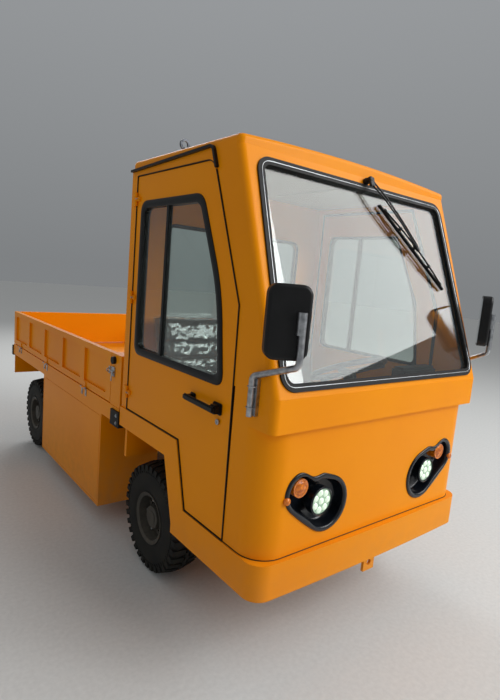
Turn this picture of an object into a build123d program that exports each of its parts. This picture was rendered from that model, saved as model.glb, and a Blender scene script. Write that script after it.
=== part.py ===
from build123d import *
import os
from math import cos, hypot, radians, sin

os.makedirs("parts", exist_ok=True)

# Electric platform truck with an enclosed cab. Millimetres, Z up, the nose looks to -Y,
# the truck's left side is +X, and the origin is on the floor at the middle of the whole.

# Driving sizes
mirror_reach = 95
body_width = 1300
body_length = 3400
overall_length = body_length + mirror_reach
front_overhang = 893
rear_overhang = 542
tyre_radius = 270
tyre_width = 160
track_outside = 1200
rim_radius = 114

nose_y = mirror_reach - overall_length / 2
tail_y = nose_y + body_length
body_half = body_width / 2
front_axle_y = nose_y + front_overhang
rear_axle_y = tail_y - rear_overhang
wheel_x = track_outside / 2 - tyre_width / 2

# Cab levels and walls
sheet = 25
wall = 28
seam = 6
skirt_bottom = 353
skirt_top = 490
brow_bottom = 965
belt_z = 1086
roof_bottom = 1935
roof_edge_z = 1968
roof_crown = 20
roof_top_z = roof_edge_z + roof_crown
cab_half = body_half - 8
cab_rear_y = nose_y + 1165
panel_y = nose_y + 27
brow_y = nose_y + 6
screen_top_y = nose_y + 310
band_top = 769
arch_top = 672
arch_front_y = nose_y + 594
arch_knee_y = nose_y + 686
knee_low_y = nose_y + 506
knee_high_y = nose_y + 593
floor_thick = 20
platform_top = 700
riser_y = nose_y + 585

# Door outline and its window
door_front_y = nose_y + 230
door_kink_y = nose_y + 249
door_kink_z = 1374
door_top_front_y = nose_y + 462
door_top_z = 1892
door_rear_y = nose_y + 1098
door_bottom = skirt_top + seam
window_bar = 24
glass_thick = 5

# Door hinges: pin, barrels and leaves
door_hinge_rows = (860, 1330, 1790)
door_hinge_x = cab_half + 8
door_hinge_y = door_rear_y + seam / 2
hinge_half = 30
hinge_play = 0.5
hinge_r = 8
hinge_leaf = 8
hinge_pin_r = 4
pin_gap = 0.05

# Load bed
bed_front_y = cab_rear_y + 25
bed_frame_bottom = 660
floor_top = 745
floor_sheet = 6
board_top = 1021
board_thick = 30
board_bottom = floor_top + seam
board_hinge_out = 10
board_hinge_x = cab_half + board_hinge_out
board_hinge_z = floor_top + 3
board_front_y = bed_front_y + 128
gate_half = body_half - 50
rail_x = 250
rail_width = 60
rail_low = 380
rail_step_low = 470
rail_high = 600
rail_high_low = 480

# Running gear
kingpin_x = wheel_x - 120
pin_r = 15
spindle_r = 22
fit_gap = 0.05
beam_half = 30
front_spring_reach = 290
rear_spring_reach = 400

fit_x = {"left": 1, "right": -1}


def side_prism(points, x_inner, x_outer):
    """A plate standing in the YZ plane between two X positions."""
    with BuildPart(mode=Mode.PRIVATE) as plate:
        with BuildSketch(Plane.YZ.offset(x_inner)):
            with BuildLine():
                Polyline(points, close=True)
            make_face()
        extrude(amount=x_outer - x_inner)
    return plate.part


def door_outline(gap):
    """Door corners as (y, z), grown by gap all round."""
    return [
        (door_front_y - gap, door_bottom - gap),
        (door_kink_y - gap - 8, door_kink_z),
        (door_top_front_y - gap, door_top_z + gap),
        (door_rear_y + gap, door_top_z + gap),
        (door_rear_y + gap, band_top + seam - gap),
        (knee_high_y - seam, band_top + seam - gap),
        (knee_low_y - seam, door_bottom - gap),
    ]


def hinge_barrel(centre, direction, start, length, radius, bore=0):
    """A barrel or pin about a hinge line, from start along it, with its bore."""
    with BuildPart(mode=Mode.PRIVATE) as barrel:
        with BuildSketch(Plane(centre, z_dir=direction).offset(start)):
            Circle(radius)
            if bore:
                Circle(bore, mode=Mode.SUBTRACT)
        extrude(amount=length)
    return barrel.part


def window_outline(inset):
    """Door window corners as (y, z), with the black surround's width taken off."""
    return [
        (nose_y + 298 + inset, 1062 + inset),
        (nose_y + 350 + inset, 1418),
        (nose_y + 520 + inset, 1780 - inset),
        (nose_y + 1050 - inset, 1780 - inset),
        (nose_y + 1050 - inset, 1062 + inset),
    ]


# The ladder frame: two stepped rails, the cross members and the bar behind the skirt
bumper_low = 390
floor_under = skirt_top - floor_thick
rail_profile = [
    (nose_y + 60, rail_low),
    (nose_y + 60, rail_step_low),
    (nose_y + 1160, rail_step_low),
    (nose_y + 1280, rail_high),
    (tail_y - 60, rail_high),
    (tail_y - 60, rail_high_low),
    (nose_y + 1330, rail_high_low),
    (nose_y + 1220, rail_low),
]
with BuildPart() as chassis_frame:
    for side in (1, -1):
        with BuildSketch(Plane.YZ.offset(side * rail_x - rail_width / 2)):
            with BuildLine():
                Polyline(rail_profile, close=True)
            make_face()
        extrude(amount=rail_width)
    # cross members: place along the truck, bottom and top
    for member_y, low, high in (
        (nose_y + 600, rail_low + 10, rail_step_low - 10),
        (nose_y + 1500, rail_high_low + 10, rail_high - 10),
        (rear_axle_y - 658, rail_high_low + 10, rail_high - 10),
        (tail_y - 90, rail_high_low + 10, rail_high),
    ):
        with Locations((0, member_y, (low + high) / 2)):
            Box(2 * rail_x, 60, high - low)
    with Locations((0, nose_y + (sheet + 60) / 2, (bumper_low + floor_under) / 2)):
        Box(2 * body_half - 180, 60 - sheet, floor_under - bumper_low)
    # hangers for the rear springs
    for side in (1, -1):
        for end in (-1, 1):
            with Locations((side * rail_x, rear_axle_y + end * rear_spring_reach, rail_high_low - 30)):
                Box(50, 50, 60)
            with Locations((side * rail_x, front_axle_y + end * front_spring_reach, rail_low - 4)):
                Box(50, 50, 8)

# The wrap-round skirt and the bands over the front wheels
skirt_corner = 70
skirt_bow = 10
with BuildPart() as cab_skirt:
    with BuildSketch(Plane.XY.offset(skirt_bottom)):
        with BuildLine():
            corner_y = nose_y + skirt_corner + skirt_bow
            Line((-body_half, arch_front_y), (-body_half, corner_y))
            RadiusArc((-body_half, corner_y), (-body_half + skirt_corner, nose_y + skirt_bow), -skirt_corner)
            ThreePointArc((-body_half + skirt_corner, nose_y + skirt_bow), (0, nose_y),
                          (body_half - skirt_corner, nose_y + skirt_bow))
            RadiusArc((body_half - skirt_corner, nose_y + skirt_bow), (body_half, corner_y), -skirt_corner)
            Line((body_half, corner_y), (body_half, arch_front_y))
            Line((body_half, arch_front_y), (-body_half, arch_front_y))
        make_face()
    extrude(amount=skirt_top - skirt_bottom)
    with BuildSketch(Plane.XY.offset(skirt_bottom - 1)):
        inner_front = nose_y + sheet
        with Locations((0, (inner_front + arch_front_y + 200) / 2)):
            RectangleRounded(body_width - 2 * sheet, arch_front_y + 200 - inner_front, 45)
    extrude(amount=skirt_top - skirt_bottom + 2, mode=Mode.SUBTRACT)
    band = [
        (knee_low_y - 60, skirt_bottom),
        (knee_low_y - 60, skirt_top),
        (knee_low_y, skirt_top),
        (knee_high_y, band_top),
        (cab_rear_y, band_top),
        (cab_rear_y, arch_top),
        (arch_knee_y, arch_top),
        (arch_front_y, skirt_bottom + 40),
        (arch_front_y, skirt_bottom),
    ]
    for x_low in (body_half - sheet, -body_half):
        add(side_prism(band, x_low, x_low + sheet))

# Footwell floor, riser and seat platform in one pressed sheet
with BuildPart() as cab_floor:
    floor_low = skirt_top - floor_thick
    floor_profile = [
        (nose_y + sheet, floor_low),
        (nose_y + sheet, skirt_top),
        (riser_y, skirt_top),
        (riser_y, platform_top),
        (cab_rear_y - 22, platform_top),
        (cab_rear_y - 22, platform_top - floor_thick),
        (riser_y + floor_thick, platform_top - floor_thick),
        (riser_y + floor_thick, floor_low),
    ]
    with BuildSketch(Plane.YZ.offset(-(body_half - sheet))):
        with BuildLine():
            Polyline(floor_profile, close=True)
        make_face()
    extrude(amount=body_width - 2 * sheet)
    # front corners follow the skirt's inside
    for side in (1, -1):
        with BuildSketch(Plane.XY.offset(floor_low - 1)):
            with Locations((side * (body_half - sheet), nose_y + sheet)):
                Rectangle(90, 90)
            with Locations((side * (body_half - sheet - 45), nose_y + sheet + 45)):
                Circle(45, mode=Mode.SUBTRACT)
        extrude(amount=floor_thick + 2, mode=Mode.SUBTRACT)

# Lower front panel, recessed under the brow, with its two lamp openings
lamp_x = 344
lamp_z = 668
lamp_r = 57.5
indicator_x = 452
indicator_z = 738
indicator_r = 36
pod_depth = 55
pod_lip = 4
panel_corner = 110


def pod_face(side, grow):
    """The lamp pod's heart-like outline on the front, grown all round."""
    # lobe centre across and up, and its radius
    lobes = ((452, 724, 72), (312, 652, 100), (300, 690, 62))
    with BuildSketch(Plane.XZ.offset(-panel_y)) as face:
        for across, up, radius in lobes:
            with Locations((side * across, up)):
                Circle(radius + grow)
        make_hull()
        with Locations((side * 384, 822)):
            Circle(60 - grow, mode=Mode.SUBTRACT)
    return face.sketch


with BuildPart() as cab_front:
    with BuildSketch(Plane.XY.offset(skirt_top)):
        return_length = door_front_y - seam - panel_y
        with Locations((0, panel_y + return_length)):
            RectangleRounded(2 * cab_half, 2 * return_length, panel_corner)
        with Locations((0, panel_y + return_length)):
            RectangleRounded(2 * (cab_half - sheet), 2 * (return_length - sheet), panel_corner - sheet,
                             mode=Mode.SUBTRACT)
        with Locations((0, panel_y + 2 * return_length)):
            Rectangle(2 * body_width, 2 * return_length, mode=Mode.SUBTRACT)
    extrude(amount=brow_bottom - skirt_top)
    for side in (1, -1):
        extrude(pod_face(side, 0), amount=-2 * sheet, mode=Mode.SUBTRACT)

# The brow: a thick band that stands out over the lower panel and carries the windscreen
brow_wall = 60
brow_corner = 28
with BuildPart() as cab_brow:
    with BuildSketch(Plane.XY.offset(brow_bottom)):
        return_length = door_front_y - seam - brow_y
        with Locations((0, brow_y + return_length)):
            RectangleRounded(2 * cab_half, 2 * return_length, brow_corner)
        with Locations((0, brow_y + brow_wall + return_length)):
            Rectangle(2 * (cab_half - wall), 2 * return_length, mode=Mode.SUBTRACT)
        with Locations((0, brow_y + 2 * return_length)):
            Rectangle(2 * body_width, 2 * return_length, mode=Mode.SUBTRACT)
    extrude(amount=belt_z - brow_bottom)

# Windscreen plane, used by the upper frame, the seal, the glass and the wiper
rake_run = screen_top_y - brow_y
rake_rise = roof_bottom - belt_z
rake_length = hypot(rake_run, rake_rise)
rake_in = rake_run / rake_length
rake_up = rake_rise / rake_length
screen_plane = Plane(origin=(0, brow_y, belt_z), x_dir=(1, 0, 0), z_dir=(0, -rake_up, rake_in))
screen_low = 20
screen_high = rake_length - 34
screen_half_low = cab_half - 31
screen_half_high = cab_half - 61
screen_corner = 62


def screen_outline(inset, height):
    """The windscreen's rounded outline, inset all round, at a height over the frame's face."""
    lean = (screen_half_low - screen_half_high) / (screen_high - screen_low)
    with BuildSketch(screen_plane.offset(height)) as face:
        with BuildLine():
            Polyline([
                (-screen_half_low + inset, screen_low + inset),
                (screen_half_low - inset, screen_low + inset),
                (screen_half_high + lean * inset - inset, screen_high - inset),
                (-screen_half_high - lean * inset + inset, screen_high - inset),
            ], close=True)
        make_face()
        fillet(face.vertices(), max(screen_corner - inset, 12))
    return face.sketch


# The upper frame: both side frames and the windscreen frame, welded in one
pillar_round = 26
screen_overlap = 12
with BuildPart() as cab_upper:
    side_profile = [
        (brow_y, belt_z),
        (screen_top_y, roof_bottom),
        (cab_rear_y, roof_bottom),
        (cab_rear_y, band_top),
        (door_rear_y - 40, band_top),
        (door_rear_y - 40, belt_z),
    ]
    with BuildSketch(Plane.YZ.offset(-cab_half)):
        with BuildLine():
            Polyline(side_profile, close=True)
        make_face()
    extrude(amount=2 * cab_half)
    sloped = [e for e in cab_upper.edges() if abs(e.length - rake_length) < 1]
    fillet(sloped, pillar_round)
    inner_profile = [
        (brow_y + wall / rake_up - 60 * rake_in / rake_up, belt_z - 60),
        (screen_top_y + wall / rake_up + 60 * rake_in / rake_up, roof_bottom + 60),
        (cab_rear_y + 60, roof_bottom + 60),
        (cab_rear_y + 60, belt_z - 400),
        (brow_y + wall / rake_up - 60 * rake_in / rake_up, belt_z - 400),
    ]
    with BuildSketch(Plane.YZ.offset(-(cab_half - wall))):
        with BuildLine():
            Polyline(inner_profile, close=True)
        make_face()
    extrude(amount=2 * (cab_half - wall), mode=Mode.SUBTRACT)
    add(side_prism(door_outline(seam), -body_width, body_width), mode=Mode.SUBTRACT)
    extrude(screen_outline(screen_overlap, 40), amount=-140, mode=Mode.SUBTRACT)
    # fixed halves of the door hinges: two barrels on leaves, and the pin between them
    for side in (1, -1):
        for hinge_z in door_hinge_rows:
            for start in (-hinge_half, hinge_half / 3 + hinge_play):
                third = hinge_half * 2 / 3 - hinge_play
                hinge_place = (side * door_hinge_x, door_hinge_y, hinge_z)
                add(hinge_barrel(hinge_place, (0, 0, 1), start, third, hinge_r))
                with Locations((side * (cab_half + hinge_leaf / 2), door_hinge_y + 3 + 15,
                                hinge_z + start + third / 2)):
                    Box(hinge_leaf, 30, third)
            add(hinge_barrel(hinge_place, (0, 0, 1), -hinge_half, 2 * hinge_half, hinge_pin_r))

# Rubber seal and glass of the windscreen
seal_width = 30
seal_lip = 7
with BuildPart() as windscreen_seal:
    extrude(screen_outline(0, 0), amount=seal_lip)
    extrude(screen_outline(screen_overlap, 0), amount=-wall)
    extrude(screen_outline(seal_width, 40), amount=-140, mode=Mode.SUBTRACT)
with BuildPart() as windscreen_glass:
    extrude(screen_outline(seal_width, -8), amount=-glass_thick)

# Roof panel with a crowned top and soft edges
with BuildPart() as cab_roof:
    with BuildSketch(Plane.XZ.offset(-screen_top_y)):
        with BuildLine():
            Line((-cab_half, roof_bottom), (cab_half, roof_bottom))
            Line((cab_half, roof_bottom), (cab_half, roof_edge_z))
            ThreePointArc((cab_half, roof_edge_z), (0, roof_top_z), (-cab_half, roof_edge_z))
            Line((-cab_half, roof_edge_z), (-cab_half, roof_bottom))
        make_face()
    extrude(amount=-(cab_rear_y - screen_top_y))
    fillet(cab_roof.edges().filter_by(Axis.Z), 24)
    fillet(cab_roof.faces().sort_by(Axis.Z)[-1].edges(), 18)

# Rear wall with its two-pane window
rear_window_width = 900
rear_window_low = 1180
rear_window_high = 1700
rear_wall_low = 500
rear_sheet = 22
with BuildPart() as cab_rear_wall:
    with Locations((0, cab_rear_y - rear_sheet / 2, (rear_wall_low + roof_bottom) / 2)):
        Box(2 * (cab_half - wall), rear_sheet, roof_bottom - rear_wall_low)
    with BuildSketch(Plane.XZ.offset(-cab_rear_y)):
        with Locations((0, (rear_window_low + rear_window_high) / 2)):
            RectangleRounded(rear_window_width, rear_window_high - rear_window_low, 50)
    extrude(amount=2 * rear_sheet, both=True, mode=Mode.SUBTRACT)
with BuildPart() as rear_glass:
    with BuildSketch(Plane.XZ.offset(-cab_rear_y + 8)):
        with Locations((0, (rear_window_low + rear_window_high) / 2)):
            RectangleRounded(rear_window_width, rear_window_high - rear_window_low, 50)
    extrude(amount=glass_thick)
    with Locations((0, cab_rear_y - 8, (rear_window_low + rear_window_high) / 2)):
        Box(24, 16, rear_window_high - rear_window_low)

# Drip rails along both roof edges, turned down at the front
with BuildPart() as drip_rails:
    for x_low in (cab_half, -cab_half - 14):
        with BuildSketch(Plane.YZ.offset(x_low)):
            with BuildLine():
                FilletPolyline((cab_rear_y - 4, 1922), (nose_y + 470, 1944), (nose_y + 436, 1862), radius=28)
            trace(line_width=10)
        extrude(amount=14)

# Dashboard with a rounded top edge
dash_low = 880
dash_y = brow_y + brow_wall
with BuildPart() as dashboard:
    with BuildSketch(Plane.YZ.offset(-(cab_half - wall))):
        with BuildLine():
            Polyline([
                (dash_y, brow_bottom),
                (dash_y, belt_z - 4),
                (dash_y + 90, belt_z - 4),
                (door_front_y - seam - 20, belt_z - 60),
                (door_front_y - seam - 20, dash_low),
                (nose_y + 140, dash_low),
                (nose_y + 140, brow_bottom),
            ], close=True)
        make_face()
    extrude(amount=2 * (cab_half - wall))
    fillet(dashboard.edges().filter_by(Axis.X).sort_by(Axis.Z)[-3:], 18)

# Two seats on the platform
seat_x = 300
seat_width = 470
seat_back_y = cab_rear_y - rear_sheet - 30
with BuildPart() as seats:
    for side in (1, -1):
        with BuildSketch(Plane.YZ.offset(side * seat_x - seat_width / 2)):
            with BuildLine():
                Polyline([
                    (seat_back_y - 530, platform_top),
                    (seat_back_y - 545, platform_top + 120),
                    (seat_back_y - 150, platform_top + 105),
                    (seat_back_y - 95, platform_top + 560),
                    (seat_back_y - 5, platform_top + 560),
                    (seat_back_y - 40, platform_top + 60),
                    (seat_back_y - 60, platform_top),
                ], close=True)
            make_face()
        extrude(amount=seat_width)
    fillet(seats.edges().filter_by(Axis.X).group_by(Axis.Z)[-1], 30)

# Steering column from the floor to the wheel, and the wheel on the column's axis
column_x = seat_x
column_foot_y = nose_y + 250
column_tilt = 25
column_run = 560
column_plane = Plane(origin=(column_x, column_foot_y, skirt_top), x_dir=(1, 0, 0),
                     z_dir=(0, sin(radians(column_tilt)), cos(radians(column_tilt))))
with BuildPart() as steering_column:
    with BuildSketch(column_plane):
        Circle(28)
    extrude(amount=column_run)
    with Locations((column_x, column_foot_y, skirt_top + 6)):
        Cylinder(60, 12)
    with BuildSketch(Plane.XY.offset(skirt_top - 60)):
        with Locations((column_x, column_foot_y)):
            Rectangle(300, 300)
    extrude(amount=60, mode=Mode.SUBTRACT)
hand_r = 190
grip_r = 14
with BuildPart() as steering_wheel:
    hub_low = column_run + hinge_play
    with BuildSketch(column_plane.offset(hub_low)):
        Circle(34)
    extrude(amount=40)
    with Locations(column_plane.offset(hub_low + 55)):
        Torus(hand_r, grip_r)
    with BuildSketch(column_plane.offset(hub_low + 30)):
        with PolarLocations(hand_r / 2 + 5, 3, start_angle=90):
            Rectangle(hand_r - 20, 30)
    extrude(amount=16)
    with BuildSketch(column_plane.offset(hub_low + 30)):
        with PolarLocations(hand_r - 8, 3, start_angle=90):
            Rectangle(22, 30)
    extrude(amount=26)

# Doors, their black window surrounds with the handles, and their glass
door_body = {}
door_trim = {}
door_glass = {}
trim_width = 34
trim_proud = 6
door_sheet = 28
for name, side in fit_x.items():
    outer = side * cab_half
    inner = outer - side * door_sheet
    x_low = min(outer, inner)
    with BuildPart() as leaf:
        add(side_prism(door_outline(0), x_low, x_low + door_sheet))
        top_front = leaf.edges().filter_by(Axis.X).sort_by(Axis.Z)[-2:].sort_by(Axis.Y)[0]
        fillet(top_front, 45)
        add(side_prism(window_outline(trim_width / 2), x_low - 5, x_low + door_sheet + 5), mode=Mode.SUBTRACT)
        for hinge_z in door_hinge_rows:
            third = hinge_half / 3 - hinge_play / 2
            hinge_place = (side * door_hinge_x, door_hinge_y, hinge_z)
            pin_bore = hinge_barrel(hinge_place, (0, 0, 1), -third, 2 * third, hinge_pin_r + pin_gap)
            with Locations((side * (cab_half + hinge_leaf / 2), door_hinge_y - 19, hinge_z)):
                Box(hinge_leaf, 32, 2 * third)
            add(hinge_barrel(hinge_place, (0, 0, 1), -third, 2 * third, hinge_r))
            add(pin_bore, mode=Mode.SUBTRACT)
    leaf.part.label = "door_" + name
    door_body[name] = leaf.part
    trim_x = cab_half if side > 0 else -cab_half - trim_proud
    with BuildPart() as surround:
        add(side_prism(window_outline(0), trim_x, trim_x + trim_proud))
        add(side_prism(window_outline(trim_width / 2), x_low, x_low + door_sheet))
        add(side_prism(window_outline(trim_width), -body_width, body_width), mode=Mode.SUBTRACT)
        bar_y = nose_y + 800
        bar_x = side * (cab_half - 10)
        with Locations((bar_x, bar_y, (1062 + 1780) / 2)):
            Box(20, window_bar, 1780 - 1062 - trim_width)
        # the handle's two feet and its bar
        for foot_y in (nose_y + 310, nose_y + 495):
            with Locations((side * (cab_half + 14), foot_y, 980)):
                Box(28, 34, 34)
        with Locations((side * (cab_half + 36), nose_y + 402, 980)):
            Box(16, 230, 30)
            fillet(surround.edges().filter_by(Axis.Z).group_by(Axis.X)[-1 if side > 0 else 0], 6)
    door_trim[name] = surround.part
    with BuildPart() as pane:
        pane_x = side * (cab_half - 14)
        add(side_prism(window_outline(trim_width), min(pane_x, pane_x + side * glass_thick),
                       max(pane_x, pane_x + side * glass_thick)))
        with Locations((bar_x, bar_y, (1062 + 1780) / 2)):
            Box(20, window_bar, 800, mode=Mode.SUBTRACT)
    door_glass[name] = pane.part

# Lamp pods, lamps and amber indicators
with BuildPart() as lamp_pods:
    for side in (1, -1):
        extrude(pod_face(side, 9), amount=pod_lip)
        extrude(pod_face(side, 0), amount=-pod_depth)
        extrude(pod_face(side, -9), amount=-(pod_depth - 6), mode=Mode.SUBTRACT)
        extrude(pod_face(side, -9), amount=pod_lip, mode=Mode.SUBTRACT)
with BuildPart() as headlamps:
    for side in (1, -1):
        with BuildSketch(Plane.XZ.offset(-(panel_y + pod_depth - 6))):
            with Locations((side * lamp_x, lamp_z)):
                Circle(lamp_r - 8)
        extrude(amount=pod_depth - 30)
        with BuildSketch(Plane.XZ.offset(-(panel_y + 26))):
            with Locations((side * lamp_x, lamp_z)):
                Circle(lamp_r)
        extrude(amount=26)
with BuildPart() as indicators:
    for side in (1, -1):
        with BuildSketch(Plane.XZ.offset(-(panel_y + pod_depth - 6))):
            with Locations((side * indicator_x, indicator_z)):
                Circle(indicator_r)
        extrude(amount=pod_depth - 12)
        with Locations((side * (lamp_x + 182), panel_y + 12, indicator_z - 32)):
            Sphere(13)
        with BuildSketch(Plane.XZ.offset(-(panel_y + 6))):
            with Locations((side * (lamp_x + 182), indicator_z - 32)):
                Circle(40)
        extrude(amount=-80, mode=Mode.SUBTRACT)
    add(cab_front.part, mode=Mode.SUBTRACT)
    add(lamp_pods.part, mode=Mode.SUBTRACT)

# Wiper: motor spindle, two parallel rods and the blade along the glass
with BuildPart() as wiper:
    spindle_up = rake_length - 20
    with BuildSketch(screen_plane):
        with Locations((23, spindle_up)):
            Circle(13)
    extrude(amount=34)
    # rod start across, end across, end up
    for start, end_x, end_up in ((14, 154, 735), (36, 176, 735)):
        with BuildSketch(screen_plane.offset(22)):
            with BuildLine():
                Line((start, spindle_up), (end_x, end_up))
            trace(line_width=9)
        extrude(amount=9)
    with BuildSketch(screen_plane.offset(16)):
        with BuildLine():
            Line((130, 765), (200, 705))
        trace(line_width=16)
    extrude(amount=22)
    with BuildSketch(screen_plane.offset(-7)):
        with BuildLine():
            Line((90, 790), (480, 430))
        trace(line_width=12)
    extrude(amount=29)

# Mirrors: a bent tube from each cab side, and the heads
mirror_width = 140
mirror_height = 236
mirror_thick = 44
mirror_turn = 30
tube_r = 11
bracket_y = nose_y + 106
# side, tube's distance ahead of the nose, upright's X, head's X, head's distance ahead, head's Z
mirror_rows = (
    (-1, mirror_reach - tube_r, body_half - 10, body_half + 8, 34, 1347),
    (1, 24, body_half + 10, body_half + 8, -14, 1363),
)
with BuildPart() as mirror_heads:
    for side, ahead, upright_x, head_x, head_ahead, head_z in mirror_rows:
        with BuildPart(mode=Mode.PRIVATE) as head:
            Box(mirror_width, mirror_thick, mirror_height)
            fillet(head.edges().filter_by(Axis.Y), 34)
            fillet(head.faces().sort_by(Axis.Y)[0].edges(), 12)
        head_place = Location((side * head_x, nose_y - head_ahead, head_z), (0, 0, side * mirror_turn))
        add(head.part.moved(head_place))
with BuildPart() as mirror_arms:
    for side, ahead, upright_x, head_x, head_ahead, head_z in mirror_rows:
        with Locations((side * (cab_half + 7), bracket_y, 1078)):
            Box(14, 40, 130)
        path_points = [
            (side * (cab_half + 11 + tube_r), bracket_y, 1010),
            (side * (cab_half + 11 + tube_r), bracket_y, 1150),
            (side * upright_x, nose_y - ahead, 1213),
            (side * upright_x, nose_y - ahead, head_z + 20),
        ]
        with BuildLine() as path:
            FilletPolyline(path_points, radius=24)
        with BuildSketch(Plane(path_points[0], z_dir=(0, 0, 1))):
            Circle(tube_r)
        sweep(path=path.line)
        with Locations((side * upright_x, nose_y - ahead + 6, head_z)):
            Cylinder(tube_r + 4, 70)
    add(mirror_heads.part, mode=Mode.SUBTRACT)

# Lifting rings on the roof
ring_r = 14
ring_tube = 4.5
ring_x = body_half - 90
ring_y = nose_y + 835
ring_seat = roof_edge_z - 6
ring_z = roof_top_z + 30
with BuildPart() as lifting_rings:
    for side in (1, -1):
        with Locations((side * ring_x, ring_y, (ring_seat + ring_z - ring_r) / 2)):
            Cylinder(8, ring_z - ring_r - ring_seat)
        with Locations((side * ring_x, ring_y, ring_z)):
            with BuildSketch(Plane.XZ.offset(-ring_y - ring_tube)):
                with Locations((side * ring_x, ring_z)):
                    Circle(ring_r + 2 * ring_tube)
                    Circle(ring_r, mode=Mode.SUBTRACT)
        extrude(amount=2 * ring_tube)
    add(cab_roof.part, mode=Mode.SUBTRACT)

# Load bed: edge frame with cross members, and the floor sheet
bed_side_wall = 45
bed_rear_y = tail_y - 32
with BuildPart() as bed_frame:
    frame_high = floor_top - floor_sheet
    with BuildSketch(Plane.XY.offset(bed_frame_bottom)):
        with Locations((0, (bed_front_y + bed_rear_y) / 2)):
            Rectangle(2 * (body_half - 5), bed_rear_y - bed_front_y)
            Rectangle(2 * (body_half - 5 - bed_side_wall), bed_rear_y - bed_front_y - 2 * bed_side_wall,
                      mode=Mode.SUBTRACT)
    extrude(amount=frame_high - bed_frame_bottom)
with BuildPart() as bed_members:
    members = 5
    member_pitch = (bed_rear_y - bed_front_y - 2 * bed_side_wall - 148) / (members - 1)
    for row in range(members):
        member_y = bed_front_y + bed_side_wall + 60 + row * member_pitch
        with Locations((0, member_y, (rail_high + frame_high) / 2)):
            Box(2 * rail_x + 60, 50, frame_high - rail_high)
        with Locations((0, member_y, (bed_frame_bottom + frame_high) / 2)):
            Box(2 * (body_half - 5 - bed_side_wall), 50, frame_high - bed_frame_bottom)
with BuildPart() as bed_floor:
    with Locations((0, (bed_front_y + bed_rear_y) / 2, floor_top - floor_sheet / 2)):
        Box(2 * (body_half - 5), bed_rear_y - bed_front_y, floor_sheet)

# Fixed front board with its corner posts and wide top flange
with BuildPart() as headboard:
    board_height = board_top - floor_top
    with Locations((0, bed_front_y + board_thick / 2, floor_top + board_height / 2)):
        Box(2 * cab_half, board_thick, board_height)
    for side in (1, -1):
        with Locations((side * (cab_half - 16), (bed_front_y + board_front_y - seam) / 2,
                        floor_top + board_height / 2)):
            Box(32, board_front_y - seam - bed_front_y, board_height)
    with Locations((0, (bed_front_y + board_front_y - seam) / 2, board_top - 12)):
        Box(2 * cab_half, board_front_y - seam - bed_front_y, 24)


def drop_board(length):
    """A board lying along X about its middle, standing on Z = 0, its outside at Y = 0."""
    height = board_top - board_bottom
    recess = 14
    with BuildPart() as board:
        with Locations((0, board_thick / 2, height / 2)):
            Box(length, board_thick, height)
        # pressed fields between the ribs, top channel and bottom channel
        count = max(2, round(length / 420))
        pitch = (length - 60) / count
        for row in range(count):
            with Locations((-length / 2 + 30 + pitch * (row + 0.5), recess / 2, height / 2)):
                Box(pitch - 66, recess, height - 74, mode=Mode.SUBTRACT)
    return board.part


def board_hinge(place, moving):
    """One strap hinge about the local X axis at the origin, with the board on its -Y side."""
    half = 40
    third = half / 2
    with BuildPart(mode=Mode.PRIVATE) as strap:
        if moving:
            add(hinge_barrel((0, 0, 0), (1, 0, 0), -third + hinge_play, 2 * third - 2 * hinge_play, strap_r))
            with Locations((0, -board_hinge_out + 3, 18)):
                Box(2 * third - 2 * hinge_play, 6, 36)
            pin_bore = hinge_barrel((0, 0, 0), (1, 0, 0), -half, 2 * half, strap_pin_r + pin_gap)
            add(pin_bore, mode=Mode.SUBTRACT)
        else:
            for start in (-half, third):
                add(hinge_barrel((0, 0, 0), (1, 0, 0), start, half - third, strap_r))
                with Locations((start + (half - third) / 2, -board_hinge_out + 3 + 2, -23)):
                    Box(half - third, 4, 46)
            add(hinge_barrel((0, 0, 0), (1, 0, 0), -half, 2 * half, strap_pin_r))
    return strap.part.moved(place)


strap_r = 6
strap_pin_r = 3
strap_rows = [board_front_y + share * (bed_rear_y - board_front_y) for share in (0.18, 0.55, 0.89)]
gate_strap_x = gate_half - 220
gate_out_y = bed_rear_y - 3
side_straps = {name: [Location((side * board_hinge_x, row, board_hinge_z), (0, 0, -90 * side))
                      for row in strap_rows] for name, side in fit_x.items()}
gate_straps = [Location((x, gate_out_y + board_hinge_out, board_hinge_z), (0, 0, 0))
               for x in (-gate_strap_x, gate_strap_x)]
with BuildPart() as hinge_straps:
    for place in side_straps["left"] + side_straps["right"] + gate_straps:
        add(board_hinge(place, False))

board_length = bed_rear_y - board_front_y
board_middle = (bed_rear_y + board_front_y) / 2
side_boards = {}
for name, side in fit_x.items():
    with BuildPart() as board:
        add(drop_board(board_length).moved(
            Location((side * cab_half, board_middle, board_bottom), (0, 0, 90 * side))))
        for place in side_straps[name]:
            add(board_hinge(place, True))
    side_boards[name] = board.part
with BuildPart() as tailgate:
    add(drop_board(2 * gate_half).moved(Location((0, gate_out_y, board_bottom), (0, 0, 180))))
    for place in gate_straps:
        add(board_hinge(place, True))

# Rubber corner blocks and buffers on the bed frame
block_height = 82
block_low = bed_frame_bottom - 12
with BuildPart() as rubber_blocks:
    for side in (1, -1):
        with Locations((side * (body_half - 20), bed_front_y - 10, block_low + block_height / 2)):
            Box(50, 20, block_height)
        with Locations((side * body_half, bed_front_y + 32, block_low + block_height / 2)):
            Box(10, 104, block_height)
        with Locations((side * (body_half - 22), tail_y - 16, block_low + block_height / 2)):
            Box(44, 32, block_height)
        with BuildSketch(Plane.YZ.offset(side * cab_half)):
            with Locations((board_front_y - 45, board_top - 34)):
                Circle(20)
        extrude(amount=side * 16)

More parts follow.
